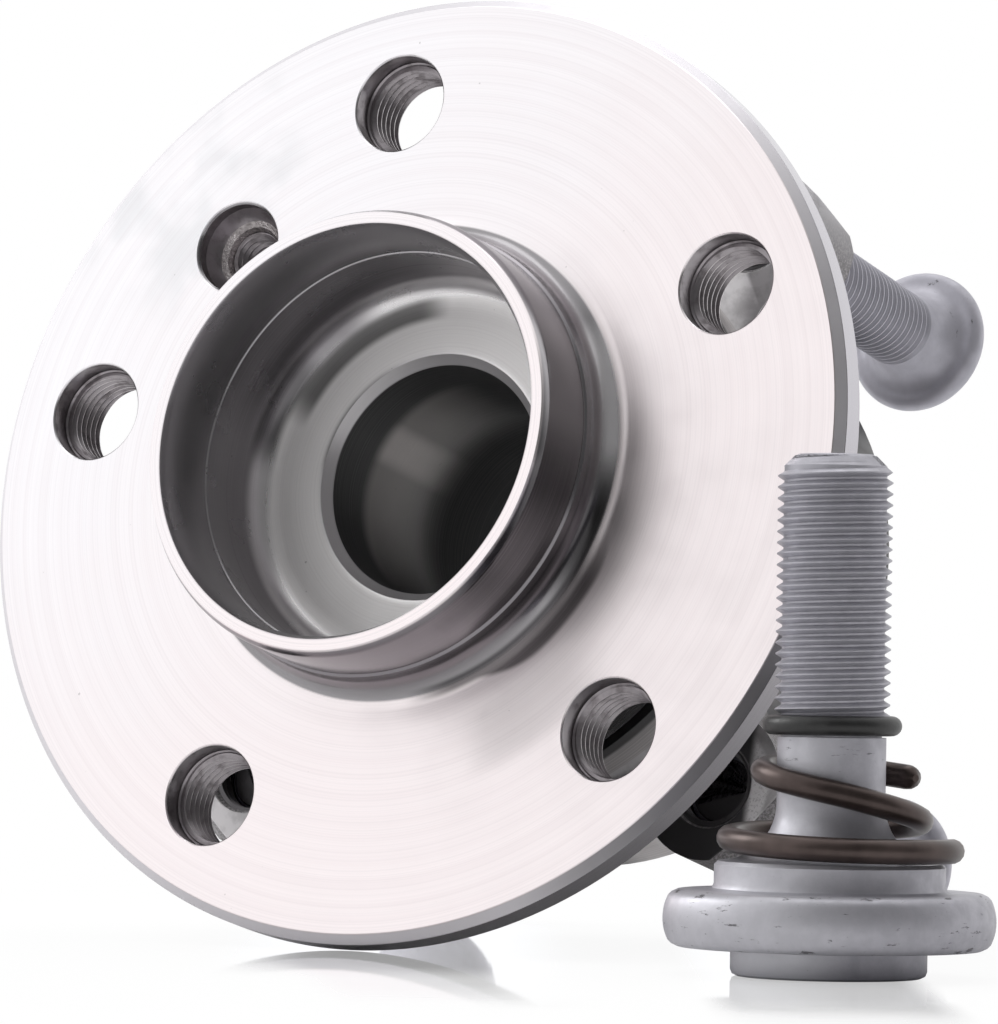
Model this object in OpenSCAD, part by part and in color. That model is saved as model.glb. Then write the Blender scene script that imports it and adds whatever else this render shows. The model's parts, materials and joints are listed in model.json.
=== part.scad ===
// Wheel hub bearing: a flanged, face-splined hub turning on two rows of balls in a
// four-eared outer ring, with its four knuckle bolts part screwed in and its axle
// bolt standing beside it. All sizes are in millimetres.
//
// Axle frame: the hub axis is Z with the wheel side at +Z, the wheel face is the
// plane z = 0, and +X is the side that ends up on top. The finished part leans back
// until it rests on the flange rim and on the heads of its two lower knuckle bolts.

/* [Wheel flange] */
// Diameter of the flange over its rim
flange_d = 142.4; // [138:0.2:150]
// Thickness of the flange at the wheel bolt circle
flange_t = 11; // [10:0.5:13]
// Width of the flange rim, front chamfer included
rim_w = 5.4; // [4.6:0.1:7]
// Size of the 45 degree chamfer round the wheel face
rim_chamfer = 1.4; // [0.6:0.1:2]
// How far the bevelled back of the flange runs in from the rim
back_bevel = 6.7; // [4:0.1:9]
// Diameter of the wheel bolt circle
wheel_pcd = 112; // [110:0.5:114]
// Number of wheel bolt holes
wheel_holes = 5; // [4:1:6]
// Major diameter of the wheel bolt thread
wheel_thread_d = 14; // [12:1:14]
// Diameter of the plain lead-in at the mouth of each wheel bolt hole
lead_in_d = 14.85; // [14.5:0.05:16]
// Depth of the plain lead-in
lead_in_h = 3.2; // [2:0.1:4]
// Turn of the first wheel bolt hole from straight up, in degrees
wheel_turn = 9.8; // [0:0.1:20]

/* [Disc screw hole] */
// Distance of the disc screw hole from the hub axis
screw_r = 48; // [46:0.5:50]
// Diameter of the seat for the screw head
screw_seat_d = 13.6; // [12:0.1:14]
// Depth of the cylindrical part of the seat
screw_seat_h = 2.6; // [1.5:0.1:3.5]
// Major diameter of the disc screw thread
screw_thread_d = 8; // [6:1:10]

/* [Pilot collar] */
// Diameter that centres the wheel
pilot_d = 66.5; // [65:0.1:68]
// Height of the collar above the wheel face
collar_h = 17.1; // [15:0.1:20]
// Wall of the collar at its mouth
collar_wall = 3.05; // [2.8:0.05:3.6]
// Height of the wider root of the collar, where the brake disc is centred
root_h = 5.9; // [4.5:0.1:8]
// How much the root stands proud of the wheel pilot
root_step = 0.35; // [0.35:0.05:0.6]
// Radius of the fillet between the collar and the wheel face
root_fillet = 3.8; // [2:0.1:4.3]
// Depth of the recess floor behind the wheel face
recess_depth = 8.1; // [6:0.1:9]
// Radius of the fillet round the recess floor
recess_fillet = 4.5; // [2:0.1:6]

/* [Hub bore] */
// Diameter of the bore for the outer joint's stub
bore_d = 34.8; // [33:0.1:36]
// Chamfer at the wheel end of the bore
bore_chamfer = 1.3; // [0.5:0.1:2]

/* [Bearing] */
// Diameter of the balls
ball_d = 12.7; // [12:0.1:12.7]
// Number of balls in each row
ball_count = 14; // [12:1:14]
// Diameter of the ball pitch circle
ball_pcd = 67; // [66.5:0.1:67.5]
// Depth of the outboard ball row behind the wheel face
row_depth = 38; // [37.5:0.1:39]
// Distance between the two ball rows
row_spacing = 21; // [20:0.1:23]
// Clearance between a ball and each raceway
race_gap = 0.12; // [0.1:0.01:0.15]
// Height of the raceway shoulders, as a share of the ball diameter
shoulder_share = 0.36; // [0.3:0.01:0.38]
// Height of the low shoulders that the balls snap over
snap_h = 0.6; // [0.3:0.05:0.9]
// Diameter of the spindle seat for the loose inner ring
seat_d = 43; // [42:0.1:44]
// Thickness of the window cages
cage_t = 3; // [2.4:0.1:3.4]
// Width of the window cages
cage_w = 15.2; // [14.6:0.1:15.4]

/* [Face spline] */
// Number of teeth on the inboard end face
spline_teeth = 45; // [30:1:50]
// Depth of the teeth at the outside of the face
spline_depth = 2; // [1:0.1:2.5]
// Length of the rolled rim that holds the inner ring
rolled_w = 4; // [3.5:0.1:6]
// Outside diameter of the rolled rim
rolled_d = 54; // [50:0.5:56]

/* [Outer ring] */
// Wall of the outer ring outside its raceways
ring_wall = 5.03; // [4.4:0.01:7]
// Depth of the outer ring's wheel end behind the wheel face
ring_depth = 26; // [25.5:0.1:26.5]
// Distance from the inboard ball row to the outer ring's inboard end
ring_tail = 12; // [11.5:0.1:13]
// Depth of the ears' wheel side behind the wheel face
ear_depth = 32; // [30:0.5:34]
// Thickness of the ears
ear_t = 12; // [10:0.5:14]
// Radius of an ear round its bolt
ear_r = 11.2; // [10.6:0.1:11.8]
// How far the ears reach out beyond the middles of their bolts
ear_over = 10.5; // [9:0.1:11.6]
// How much the forged ears draw in towards the knuckle
ear_draft = 1.6; // [0.5:0.1:2]
// Radius of the fillets that blend the ears into the ring
ear_fillet = 8; // [5:0.5:10]
// Width of the land that the seals are pressed into
seal_land = 5; // [4.5:0.1:5.4]

/* [Knuckle bolts] */
// Distance of the knuckle bolts from the hub axis
knuckle_r = 56.3; // [55.5:0.1:57]
// Angle of the two upper bolts from straight up
upper_angle = 37.8; // [35:0.1:50]
// Angle of the two lower bolts from straight down
lower_angle = 45.2; // [40:0.1:50]
// Major diameter of the thread
knuckle_thread_d = 12; // [10:1:12]
// Length of the thread
knuckle_thread_l = 46; // [42:0.5:50]
// Distance from an ear's knuckle face to the middle of the bolt's flange
bolt_standoff = 45.5; // [42:0.1:47]
// Length of the plain neck between the thread and the flange's middle
bolt_neck = 7.7; // [6:0.1:9]
// Diameter of the bolt's flange
bolt_flange_d = 22.4; // [21:0.1:24]
// Thickness of the bolt's flange
bolt_flange_t = 3.6; // [3:0.1:5]
// Diameter over the points of the drive
drive_d = 13; // [12:0.1:14]
// Height of the drive
drive_h = 6; // [4:0.1:6.5]

/* [Axle bolt] */
// Major diameter of the thread
axle_thread_d = 15.6; // [15:0.1:16]
// Full length of the bolt
axle_l = 70.5; // [66:0.1:76]
// Length of the thread
axle_thread_l = 35; // [30:0.5:38]
// Diameter of the plain shank
axle_shank_d = 14.7; // [14:0.1:15]
// Diameter of the collar that centres in the hub bore
axle_collar_d = 31.3; // [29:0.1:32]
// Height of the collar
axle_collar_h = 3.95; // [3:0.05:5]
// Diameter of the pressure flange
axle_flange_d = 45; // [42:0.2:48]
// Thickness of the pressure flange
axle_flange_t = 7.6; // [6:0.1:9]
// Diameter of the foot that holds the drive socket
axle_foot_d = 26.6; // [24:0.1:28]
// Height of the foot
axle_foot_h = 3.9; // [3:0.1:6]
// Width across the flats of the hexagon socket
socket_af = 17; // [14:1:19]
// Depth of the hexagon socket
socket_h = 9; // [6:0.5:10]
// Radius of the fillet between the shank and the collar
axle_fillet = 8; // [6:0.1:8]
// Diameter of the O-ring's cord
o_ring_t = 2.7; // [2.2:0.1:3]
// Width of the O-ring's groove
o_groove_w = 3.2; // [3:0.1:3.6]
// Distance from the shank's tip end to the middle of the O-ring
o_ring_drop = 36.6; // [36:0.1:38]

/* [Retaining spring] */
// Diameter of the wire
wire_d = 3.4; // [3:0.1:3.5]
// Distance the wire's middle keeps outside the shank at the tightest turn
spring_grip = 1.85; // [1.8:0.05:2.2]
// Rise of the top turn above the bottom one, from middle to middle
spring_rise = 11.2; // [10:0.1:11.6]
// Direction of the spring's top end, seen from above
spring_turn = 50; // [0:5:355]

/* [Placing] */
// Distance of the axle bolt to the right of the hub axis
axle_right = 81; // [78:0.5:90]
// Distance of the axle bolt in front of the wheel face's centre
axle_front = 19.9; // [18:0.1:30]

/* [Hidden] */
$fn = 96;
// Clearance of a turned fit, on the radius
fit = 0.07;
// Clearance of a seal lip, on the radius
lip_gap = 0.12;
// Small edge chamfer
edge = 0.5;

flange_r = flange_d / 2;
pilot_r = pilot_d / 2;
collar_bore_r = pilot_r - collar_wall;
bore_r = bore_d / 2;
ball_r = ball_d / 2;
pitch_r = ball_pcd / 2;
groove_r = ball_r + race_gap;
shoulder_h = shoulder_share * ball_d;
row_out_z = -row_depth;
row_in_z = row_out_z - row_spacing;

// Inner raceways: bottom, low shoulder between the rows, high shoulder at the ends
inner_low_r = pitch_r - groove_r + snap_h;
inner_high_r = pitch_r - groove_r + shoulder_h;
// Outer raceways: high shoulder between the rows, low shoulder at the ends
outer_high_r = pitch_r + groove_r - shoulder_h;
outer_low_r = pitch_r + groove_r - snap_h;

ring_r = pitch_r + groove_r + ring_wall;
ring_front_z = -ring_depth;
ring_back_z = row_in_z - ring_tail;
seal_seat_r = pitch_r + groove_r - 0.4;
seal_land_r = inner_high_r + 2;
ear_front_z = -ear_depth;
ear_back_z = ear_front_z - ear_t;

seat_r = seat_d / 2;
inner_front_z = (row_out_z + row_in_z) / 2;
inner_back_z = ring_back_z - 1;
hub_back_z = inner_back_z - rolled_w;

neck_r = ring_r - 1;
neck_z = ring_front_z + 2;
neck_fillet = 5;

cage_mid_r = pitch_r;
pocket_r = groove_r;

knuckle_hole_r = knuckle_thread_d / 2;
bolt_shank_r = knuckle_hole_r - fit;
bolt_mid_z = ear_back_z - bolt_standoff;
bolt_rim_r = bolt_flange_t / 2;

// Lean of the resting part: the rear corner of the rim and the rounded rims of the
// lower bolts' flanges touch one level floor
rest_up = flange_r - (knuckle_r * cos(lower_angle) + bolt_flange_d / 2 - bolt_rim_r);
rest_back = -rim_w - bolt_mid_z;
lean = acos(bolt_rim_r / norm([rest_up, rest_back])) - atan2(rest_back, rest_up);
floor_z = -(flange_r * cos(lean) + rim_w * sin(lean));

axle_collar_z = axle_foot_h + axle_flange_t;
axle_shank_z = axle_collar_z + axle_collar_h;
axle_thread_z = axle_l - axle_thread_l;
o_ring_z = axle_l - o_ring_drop;
o_ring_r = axle_shank_d / 2 - 0.6 + o_ring_t / 2;

// Course of the spring's wire from its top end down: turn from that end, how far it lies
// outside the tightest turn, and height above the bottom turn as a share of the rise
SPRING = [[0, 3.2, 0.86], [70, 0.6, 0.98], [160, 0.05, 1], [250, 0.4, 0.77], [340, 3, 0.34],
          [430, 3.8, 0.2], [520, 4.5, 0.12], [610, 5.8, 0.03], [700, 7.4, 0]];

// Points along an arc round c, from angle a to angle b
function arc(c, r, a, b, n = 8) =
    [for (i = [0:n]) c + r * [cos(a + (b - a) * i / n), sin(a + (b - a) * i / n)]];

// Bolt angles round the axis, anticlockwise from the top as seen from the wheel
function bolt_angle(i) = [upper_angle, -upper_angle, lower_angle - 180, 180 - lower_angle][i];

// Carries the axle frame to the part's own frame, leaning back
module in_axle_frame() {
    rotate([90 - lean, 0, 0]) rotate([0, 0, 90]) children();
}

// Wheel flange, pilot collar, spindle with the outboard inner raceway, and the
// rolled rim whose end face is cut into a face spline
module hub_flange() {
    color("gainsboro") in_axle_frame() difference() {
        rotate_extrude() difference() {
            polygon(concat(
                [[bore_r, hub_back_z + 1], [bore_r, -recess_depth - bore_chamfer],
                 [bore_r + bore_chamfer, -recess_depth]],
                arc([collar_bore_r - 0.2 - recess_fillet, -recess_depth + recess_fillet],
                    recess_fillet, -90, 0),
                [[collar_bore_r - 0.2, root_h - 0.3], [collar_bore_r, root_h - 0.3],
                 [collar_bore_r, collar_h - 1.3], [collar_bore_r + 0.68, collar_h],
                 [pilot_r - 0.7, collar_h], [pilot_r, collar_h - 1.5], [pilot_r, root_h],
                 [pilot_r + root_step, root_h - root_step]],
                arc([pilot_r + root_step + root_fillet, root_fillet], root_fillet, 180, 270),
                [[flange_r - rim_chamfer, 0], [flange_r, -rim_chamfer],
                 [flange_r, -rim_w], [flange_r - back_bevel, -flange_t]],
                arc([neck_r + neck_fillet, -flange_t - neck_fillet], neck_fillet, 90, 180),
                [[neck_r, neck_z + edge], [neck_r - edge, neck_z]],
                arc([seal_land_r + 1.5, neck_z - 1.5], 1.5, 90, 180, 4),
                [[seal_land_r, row_out_z + cage_w / 2 + 1],
                 [inner_high_r, row_out_z + cage_w / 2 + 0.5], [inner_high_r, row_out_z],
                 [inner_low_r, row_out_z], [inner_low_r, inner_front_z],
                 [seat_r, inner_front_z], [seat_r, inner_back_z],
                 [rolled_d / 2 - 0.6, inner_back_z], [rolled_d / 2, inner_back_z - 0.6]],
                arc([rolled_d / 2 - 2.4, hub_back_z + 2.4], 2.4, 0, -90, 5),
                [[bore_r + 1, hub_back_z]]));
            translate([pitch_r, row_out_z]) circle(groove_r);
        }
        wheel_bolt_holes();
        disc_screw_hole();
        face_spline();
    }
}

// Threaded holes for the wheel bolts, each with its plain lead-in
module wheel_bolt_holes() {
    for (i = [0:wheel_holes - 1])
        rotate([0, 0, wheel_turn + i * 360 / wheel_holes]) translate([wheel_pcd / 2, 0, 0]) {
            translate([0, 0, -flange_t - 1]) cylinder(d = wheel_thread_d, h = flange_t + 2);
            translate([0, 0, -lead_in_h]) cylinder(d = lead_in_d, h = lead_in_h + 1);
        }
}

// Threaded hole and conical seat for the screw that holds the brake disc
module disc_screw_hole() {
    cone_h = (screw_seat_d - screw_thread_d) / 2;
    rotate([0, 0, wheel_turn + 180 / wheel_holes]) translate([screw_r, 0, 0]) {
        translate([0, 0, -flange_t - 8]) cylinder(d = screw_thread_d, h = flange_t + 8);
        translate([0, 0, -screw_seat_h]) cylinder(d = screw_seat_d, h = screw_seat_h + 1);
        translate([0, 0, -screw_seat_h - cone_h])
            cylinder(d1 = screw_thread_d, d2 = screw_seat_d, h = cone_h);
        translate([0, 0, -0.4]) cylinder(d1 = screw_seat_d, d2 = screw_seat_d + 0.8, h = 0.4);
    }
}

// Radial vee grooves that get shallower towards the axis, as a face spline's do
module face_spline() {
    outer_r = rolled_d / 2;
    rise = atan(spline_depth / outer_r);
    half_w = 0.36 * 360 / spline_teeth / 180 * PI * outer_r / 2;
    deep = 3;
    for (i = [0:spline_teeth - 1])
        rotate([0, 0, i * 360 / spline_teeth]) translate([0, 0, hub_back_z])
            rotate([0, -rise, 0]) translate([bore_r - 3, 0, 0]) rotate([90, 0, 90])
                linear_extrude(outer_r - bore_r + 5)
                    polygon([[0, 0],
                             [-half_w * deep / spline_depth, -deep],
                             [half_w * deep / spline_depth, -deep]]);
}

// Loose inner ring, pressed on the spindle and held by the rolled rim
module inner_ring() {
    color("silver") in_axle_frame() rotate_extrude() difference() {
        polygon([[seat_r, inner_front_z], [inner_low_r - edge, inner_front_z],
                 [inner_low_r, inner_front_z - edge], [inner_low_r, row_in_z],
                 [inner_high_r, row_in_z], [inner_high_r, inner_back_z + 1],
                 [inner_high_r - 1, inner_back_z], [seat_r, inner_back_z]]);
        translate([pitch_r, row_in_z]) circle(groove_r);
    }
}

// Pressed-steel slinger on the inner ring, which carries the encoder
module slinger() {
    sleeve_z = row_in_z - cage_w / 2 - 1;
    color("dimgray") in_axle_frame() rotate_extrude()
        polygon([[inner_high_r, sleeve_z], [inner_high_r + 0.8, sleeve_z],
                 [inner_high_r + 0.8, ring_back_z + 1.5], [seal_seat_r - 1.4, ring_back_z + 1.5],
                 [seal_seat_r - 1.4, ring_back_z + 0.8], [inner_high_r, ring_back_z + 0.8]]);
}

// Magnetic ring that the wheel speed sensor reads
module encoder_ring() {
    color([0.16, 0.14, 0.13]) in_axle_frame() rotate_extrude()
        polygon([[inner_high_r + 1.4, ring_back_z + 0.8], [seal_seat_r - 1.4, ring_back_z + 0.8],
                 [seal_seat_r - 1.4, ring_back_z + 0.1], [seal_seat_r - 1.6, ring_back_z - 0.1],
                 [inner_high_r + 1.6, ring_back_z - 0.1], [inner_high_r + 1.4, ring_back_z + 0.1]]);
}

// Outline of one ear, pointing along X, blended into the ring by two fillets
module ear_outline() {
    // Angle at the axis between the bolt and a fillet's centre, by the cosine rule
    near = ring_r + ear_fillet;
    far = ear_r + ear_fillet;
    a = acos((knuckle_r * knuckle_r + near * near - far * far) / (2 * knuckle_r * near));
    translate([knuckle_r, 0]) circle(ear_r);
    difference() {
        polygon([[0, 0], near * [cos(a), -sin(a)], [knuckle_r, 0], near * [cos(a), sin(a)]]);
        for (s = [-1, 1]) translate(near * [cos(a), s * sin(a)]) circle(ear_fillet);
    }
}

// Forged outer ring with both outer raceways, the seal seats and four threaded ears
module outer_ring() {
    color([0.3, 0.3, 0.31]) in_axle_frame() difference() {
        union() {
            rotate_extrude() outer_ring_section();
            intersection() {
                difference() {
                    for (i = [0:3])
                        rotate([0, 0, bolt_angle(i)]) translate([0, 0, ear_back_z])
                            linear_extrude(ear_t) ear_outline();
                    translate([0, 0, ear_back_z - 1]) cylinder(r = ring_r - 2, h = ear_t + 2);
                }
                rotate_extrude() ear_envelope();
            }
        }
        for (i = [0:3]) rotate([0, 0, bolt_angle(i)]) translate([knuckle_r, 0, ear_back_z]) {
            translate([0, 0, -1]) cylinder(r = knuckle_hole_r, h = ear_t + 2);
            translate([0, 0, -0.01]) cylinder(r1 = knuckle_hole_r + 1, r2 = knuckle_hole_r, h = 1);
            translate([0, 0, ear_t - 0.6])
                cylinder(r1 = knuckle_hole_r, r2 = knuckle_hole_r + 0.61, h = 0.61);
        }
    }
}

// Half section of the outer ring without its ears
module outer_ring_section() {
    difference() {
        polygon([[seal_seat_r + 0.4, ring_front_z], [ring_r - 1, ring_front_z],
                 [ring_r, ring_front_z - 1], [ring_r, ring_back_z + 2],
                 [ring_r - 1, ring_back_z], [seal_seat_r + 0.4, ring_back_z],
                 [seal_seat_r, ring_back_z + 0.4], [seal_seat_r, ring_back_z + seal_land],
                 [outer_low_r, ring_back_z + seal_land], [outer_low_r, row_in_z],
                 [outer_high_r, row_in_z], [outer_high_r, row_out_z],
                 [outer_low_r, row_out_z], [outer_low_r, ring_front_z - seal_land],
                 [seal_seat_r, ring_front_z - seal_land], [seal_seat_r, ring_front_z - 0.4]]);
        translate([pitch_r, row_out_z]) circle(groove_r);
        translate([pitch_r, row_in_z]) circle(groove_r);
    }
}

// Half section of the turned and drafted envelope that trims the ears
module ear_envelope() {
    chamfer = 1.5;
    ear_reach = knuckle_r + ear_over;
    back_reach = ear_reach - ear_draft;
    polygon([[0, ear_back_z], [back_reach - chamfer, ear_back_z],
             [back_reach, ear_back_z + chamfer], [ear_reach, ear_front_z - chamfer],
             [ear_reach - chamfer, ear_front_z], [0, ear_front_z]]);
}

// Cassette seal at the wheel end, its lips just clear of the hub
module outboard_seal() {
    top_z = ring_front_z - 0.2;
    lip_r = seal_land_r + lip_gap;
    color([0.1, 0.1, 0.1]) in_axle_frame() rotate_extrude()
        polygon([[seal_seat_r, top_z], [seal_seat_r, top_z - 3.6], [seal_seat_r - 1.1, top_z - 3.6],
                 [seal_seat_r - 1.1, top_z - 1.2], [lip_r + 1.4, top_z - 1.2],
                 [lip_r + 0.9, top_z - 2.6], [lip_r, top_z - 3], [lip_r, top_z - 2.4],
                 [lip_r + 0.6, top_z - 1], [lip_r + 0.6, top_z - 0.6], [lip_r, top_z],
                 [lip_r + 0.7, top_z + 0.5], [lip_r + 1.6, top_z]]);
}

// Seal at the inboard end, its lips just clear of the slinger
module inboard_seal() {
    far_z = row_in_z - cage_w / 2 - 0.9;
    lip_r = inner_high_r + 0.8 + lip_gap;
    color([0.12, 0.12, 0.12]) in_axle_frame() rotate_extrude()
        polygon([[seal_seat_r, far_z], [lip_r + 0.9, far_z], [lip_r, far_z - 0.5],
                 [lip_r, far_z - 1], [lip_r + 1.6, far_z - 1], [seal_seat_r - 1, far_z - 1],
                 [seal_seat_r - 1, ring_back_z + 0.6], [seal_seat_r, ring_back_z + 0.6]]);
}

// Window cage: a plain band with one pocket for each ball
module ball_cage(z) {
    color([0.42, 0.33, 0.2]) in_axle_frame() difference() {
        rotate_extrude() translate([cage_mid_r - cage_t / 2, z - cage_w / 2])
            square([cage_t, cage_w]);
        for (i = [1:ball_count]) at_ball(i, z) sphere(pocket_r);
    }
}

// Places a child at the i-th ball of the row at depth z
module at_ball(i, z) {
    rotate([0, 0, i * 360 / ball_count]) translate([pitch_r, 0, z]) children();
}

// One bearing ball
module ball(i, z) {
    color("lightgray") in_axle_frame() at_ball(i, z) sphere(ball_r);
}

// Knuckle bolt: thread, flared neck, rounded flange and six-lobed drive
module knuckle_bolt(i) {
    thread_end_z = bolt_mid_z + bolt_neck;
    tip_z = thread_end_z + knuckle_thread_l;
    neck_top_z = bolt_mid_z + bolt_rim_r;
    flare_r = thread_end_z - neck_top_z;
    flat_r = bolt_flange_d / 2 - bolt_rim_r;
    flare_w = min(flare_r, flat_r - bolt_shank_r);
    color([0.6, 0.61, 0.63]) in_axle_frame() rotate([0, 0, bolt_angle(i)])
        translate([knuckle_r, 0, 0]) {
            rotate_extrude() polygon(concat(
                [[0, tip_z], [bolt_shank_r - 1.2, tip_z], [bolt_shank_r, tip_z - 1.2]],
                [for (k = [0:8]) [bolt_shank_r + flare_w * (1 - cos(k * 90 / 8)),
                                  thread_end_z - flare_r * sin(k * 90 / 8)]],
                arc([flat_r, bolt_mid_z], bolt_rim_r, 90, -90, 12),
                [[0, bolt_mid_z - bolt_rim_r]]));
            translate([0, 0, bolt_mid_z - bolt_rim_r - drive_h])
                linear_extrude(drive_h) drive_outline();
        }
}

// Outline of the six-lobed drive
module drive_outline() {
    lobe_r = drive_d * 0.1;
    difference() {
        union() {
            circle(d = drive_d * 0.82);
            for (k = [0:5]) rotate(k * 60) translate([drive_d / 2 - lobe_r, 0]) circle(lobe_r);
        }
        for (k = [0:5]) rotate(30 + k * 60) translate([drive_d * 0.5, 0]) circle(lobe_r);
    }
}

// Places a child where the axle bolt stands
module at_axle_bolt() {
    translate([axle_right, -axle_front, floor_z]) children();
}

// Axle bolt, standing on its foot: socketed foot, barrelled pressure flange,
// centring collar, filleted shank and fine thread
module axle_bolt() {
    foot_r = axle_foot_d / 2;
    flange_edge = axle_flange_d / 2;
    collar_r = axle_collar_d / 2;
    shank_r = axle_shank_d / 2;
    groove_floor_r = shank_r - 0.6;
    thread_r = axle_thread_d / 2;
    fillet_r = min(axle_fillet, collar_r - edge - shank_r);
    // The barrelled rim is a shallow arc over the flange's thickness
    bulge = 0.7;
    half_t = axle_flange_t / 2 - 0.8;
    barrel_r = (half_t * half_t + bulge * bulge) / (2 * bulge);
    swing = asin(half_t / barrel_r);
    color([0.62, 0.63, 0.64]) at_axle_bolt() difference() {
        rotate_extrude() polygon(concat(
            [[0, 0], [foot_r - edge, 0], [foot_r, edge], [foot_r, axle_foot_h],
             [flange_edge - bulge - 1, axle_foot_h]],
            arc([flange_edge - barrel_r, axle_foot_h + axle_flange_t / 2], barrel_r, -swing, swing),
            [[flange_edge - bulge - 0.6, axle_collar_z], [collar_r + 0.8, axle_collar_z],
             [collar_r, axle_collar_z + 0.8], [collar_r, axle_shank_z - edge],
             [collar_r - edge, axle_shank_z]],
            arc([shank_r + fillet_r, axle_shank_z + fillet_r], fillet_r, 270, 180),
            [[shank_r, o_ring_z - o_groove_w / 2], [groove_floor_r, o_ring_z - o_groove_w / 2],
             [groove_floor_r, axle_thread_z - 1], [thread_r, axle_thread_z],
             [thread_r, axle_l - 1.8], [thread_r - 1.8, axle_l], [0, axle_l]]));
        translate([0, 0, -1]) cylinder(d = socket_af / cos(30), h = socket_h + 1, $fn = 6);
    }
}

// O-ring in its groove at the end of the thread, which keeps the spring on the bolt
module bolt_o_ring() {
    color([0.08, 0.08, 0.08]) at_axle_bolt() translate([0, 0, o_ring_z])
        rotate_extrude() translate([o_ring_r, 0]) circle(d = o_ring_t);
}

// Place on the spring's course at a turn from its top end, by a smooth curve through it
function on_spring(turn) =
    let (last = len(SPRING) - 1,
         k = max([for (i = [0:last - 1]) if (SPRING[i][0] <= turn + 0.001) i]),
         p0 = SPRING[max(k - 1, 0)], p1 = SPRING[k], p2 = SPRING[k + 1],
         p3 = SPRING[min(k + 2, last)], span = p2[0] - p1[0], t = (turn - p1[0]) / span,
         s1 = (p2 - p0) / (p2[0] - p0[0]) * span, s2 = (p3 - p1) / (p3[0] - p1[0]) * span)
    (2 * t * t * t - 3 * t * t + 1) * p1 + (t * t * t - 2 * t * t + t) * s1
    + (3 * t * t - 2 * t * t * t) * p2 + (t * t * t - t * t) * s2;

// Retaining spring: an opening coil of round wire standing on the bolt's collar
module bolt_spring() {
    sides = 10;
    rings = 56;
    foot_z = axle_shank_z + wire_d / 2 + 0.05;
    tight_r = axle_shank_d / 2 + spring_grip;
    function ring(turn) =
        let (at = on_spring(turn), a = spring_turn + turn, out = [cos(a), sin(a), 0],
             centre = (tight_r + at[1]) * out + [0, 0, foot_z + spring_rise * at[2]])
        [for (k = [0:sides - 1]) let (b = k * 360 / sides)
            centre + wire_d / 2 * (out * cos(b) + [0, 0, sin(b)])];
    points = [for (j = [0:rings]) each ring(j * SPRING[len(SPRING) - 1][0] / rings)];
    walls = [for (j = [0:rings - 1], k = [0:sides - 1]) let (m = (k + 1) % sides)
        [j * sides + k, (j + 1) * sides + k, (j + 1) * sides + m, j * sides + m]];
    start = [for (k = [0:sides - 1]) k];
    end = [for (k = [sides - 1:-1:0]) rings * sides + k];
    color([0.26, 0.2, 0.18]) at_axle_bolt() polyhedron(points, concat([start], walls, [end]));
}

hub_flange();
inner_ring();
slinger();
encoder_ring();
outer_ring();
outboard_seal();
inboard_seal();
ball_cage(row_out_z);  // outboard_cage
ball_cage(row_in_z);  // inboard_cage
for (i = [1:ball_count]) {
    ball(i, row_out_z);
    ball(i, row_in_z);
}
knuckle_bolt(0);  // upper_left_bolt
knuckle_bolt(1);  // upper_right_bolt
knuckle_bolt(2);  // lower_right_bolt
knuckle_bolt(3);  // lower_left_bolt
axle_bolt();
bolt_spring();
bolt_o_ring();
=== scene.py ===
"""Looks of a wheel hub bearing that stands on its flange rim, with its axle bolt beside it.

Turned pieces are made in millimetres about the Z axis and then carried to their place in
the part's own frame, in metres. The hub's own axis leans back; its direction and the
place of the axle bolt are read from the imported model.
"""

from __future__ import annotations

import json
import logging
import math
from dataclasses import dataclass
from enum import Enum
from typing import Any, Sequence

import bmesh
import bpy
from mathutils import Matrix, Vector

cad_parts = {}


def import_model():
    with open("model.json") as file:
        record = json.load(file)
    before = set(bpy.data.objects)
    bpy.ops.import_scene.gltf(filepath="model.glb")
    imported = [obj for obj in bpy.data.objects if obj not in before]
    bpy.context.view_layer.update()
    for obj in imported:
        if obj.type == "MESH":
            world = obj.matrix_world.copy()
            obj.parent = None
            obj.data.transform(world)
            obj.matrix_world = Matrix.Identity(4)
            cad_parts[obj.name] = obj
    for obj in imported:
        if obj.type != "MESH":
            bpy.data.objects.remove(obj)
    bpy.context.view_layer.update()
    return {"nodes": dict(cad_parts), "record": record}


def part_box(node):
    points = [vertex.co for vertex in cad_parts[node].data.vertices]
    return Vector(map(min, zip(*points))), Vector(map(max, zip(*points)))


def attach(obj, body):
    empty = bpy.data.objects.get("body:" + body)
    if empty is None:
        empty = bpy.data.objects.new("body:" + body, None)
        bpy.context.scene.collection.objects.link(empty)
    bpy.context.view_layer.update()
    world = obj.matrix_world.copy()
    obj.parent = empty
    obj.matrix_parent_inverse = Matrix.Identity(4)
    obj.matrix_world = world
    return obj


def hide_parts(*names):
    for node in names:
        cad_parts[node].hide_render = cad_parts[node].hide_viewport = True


LOG = logging.getLogger("wheel_hub_bearing")
MM = 0.001
FULL_TURN = 2.0 * math.pi
SHARP_EDGE = 32.0
NOWHERE = 1000.0

Point = tuple[float, float]
Triple = tuple[float, float, float]
Colour = tuple[float, float, float]


class Ear(Enum):
    """The four ears, each with its turn about the hub's axis from straight up, in degrees."""

    UPPER_LEFT = 37.8
    UPPER_RIGHT = -37.8
    LOWER_RIGHT = -134.8
    LOWER_LEFT = 134.8

    @property
    def bolt(self) -> str:
        """Name of the bolt in this ear."""
        return f"{self.name.lower()}_bolt"


class HubSlot(Enum):
    """Finishes of the hub's forging, by the number of their material slot."""

    TURNED = 0
    CUT = 1
    TORN = 2


def add_object(name: str, data: bpy.types.ID) -> bpy.types.Object:
    """Puts new data into the scene.

    Args:
        name: Name of the new object.
        data: Its mesh, curve, lamp or camera.

    Returns:
        The new object, at the origin.
    """
    thing = bpy.data.objects.new(name, data)
    bpy.context.scene.collection.objects.link(thing)
    return thing


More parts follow.
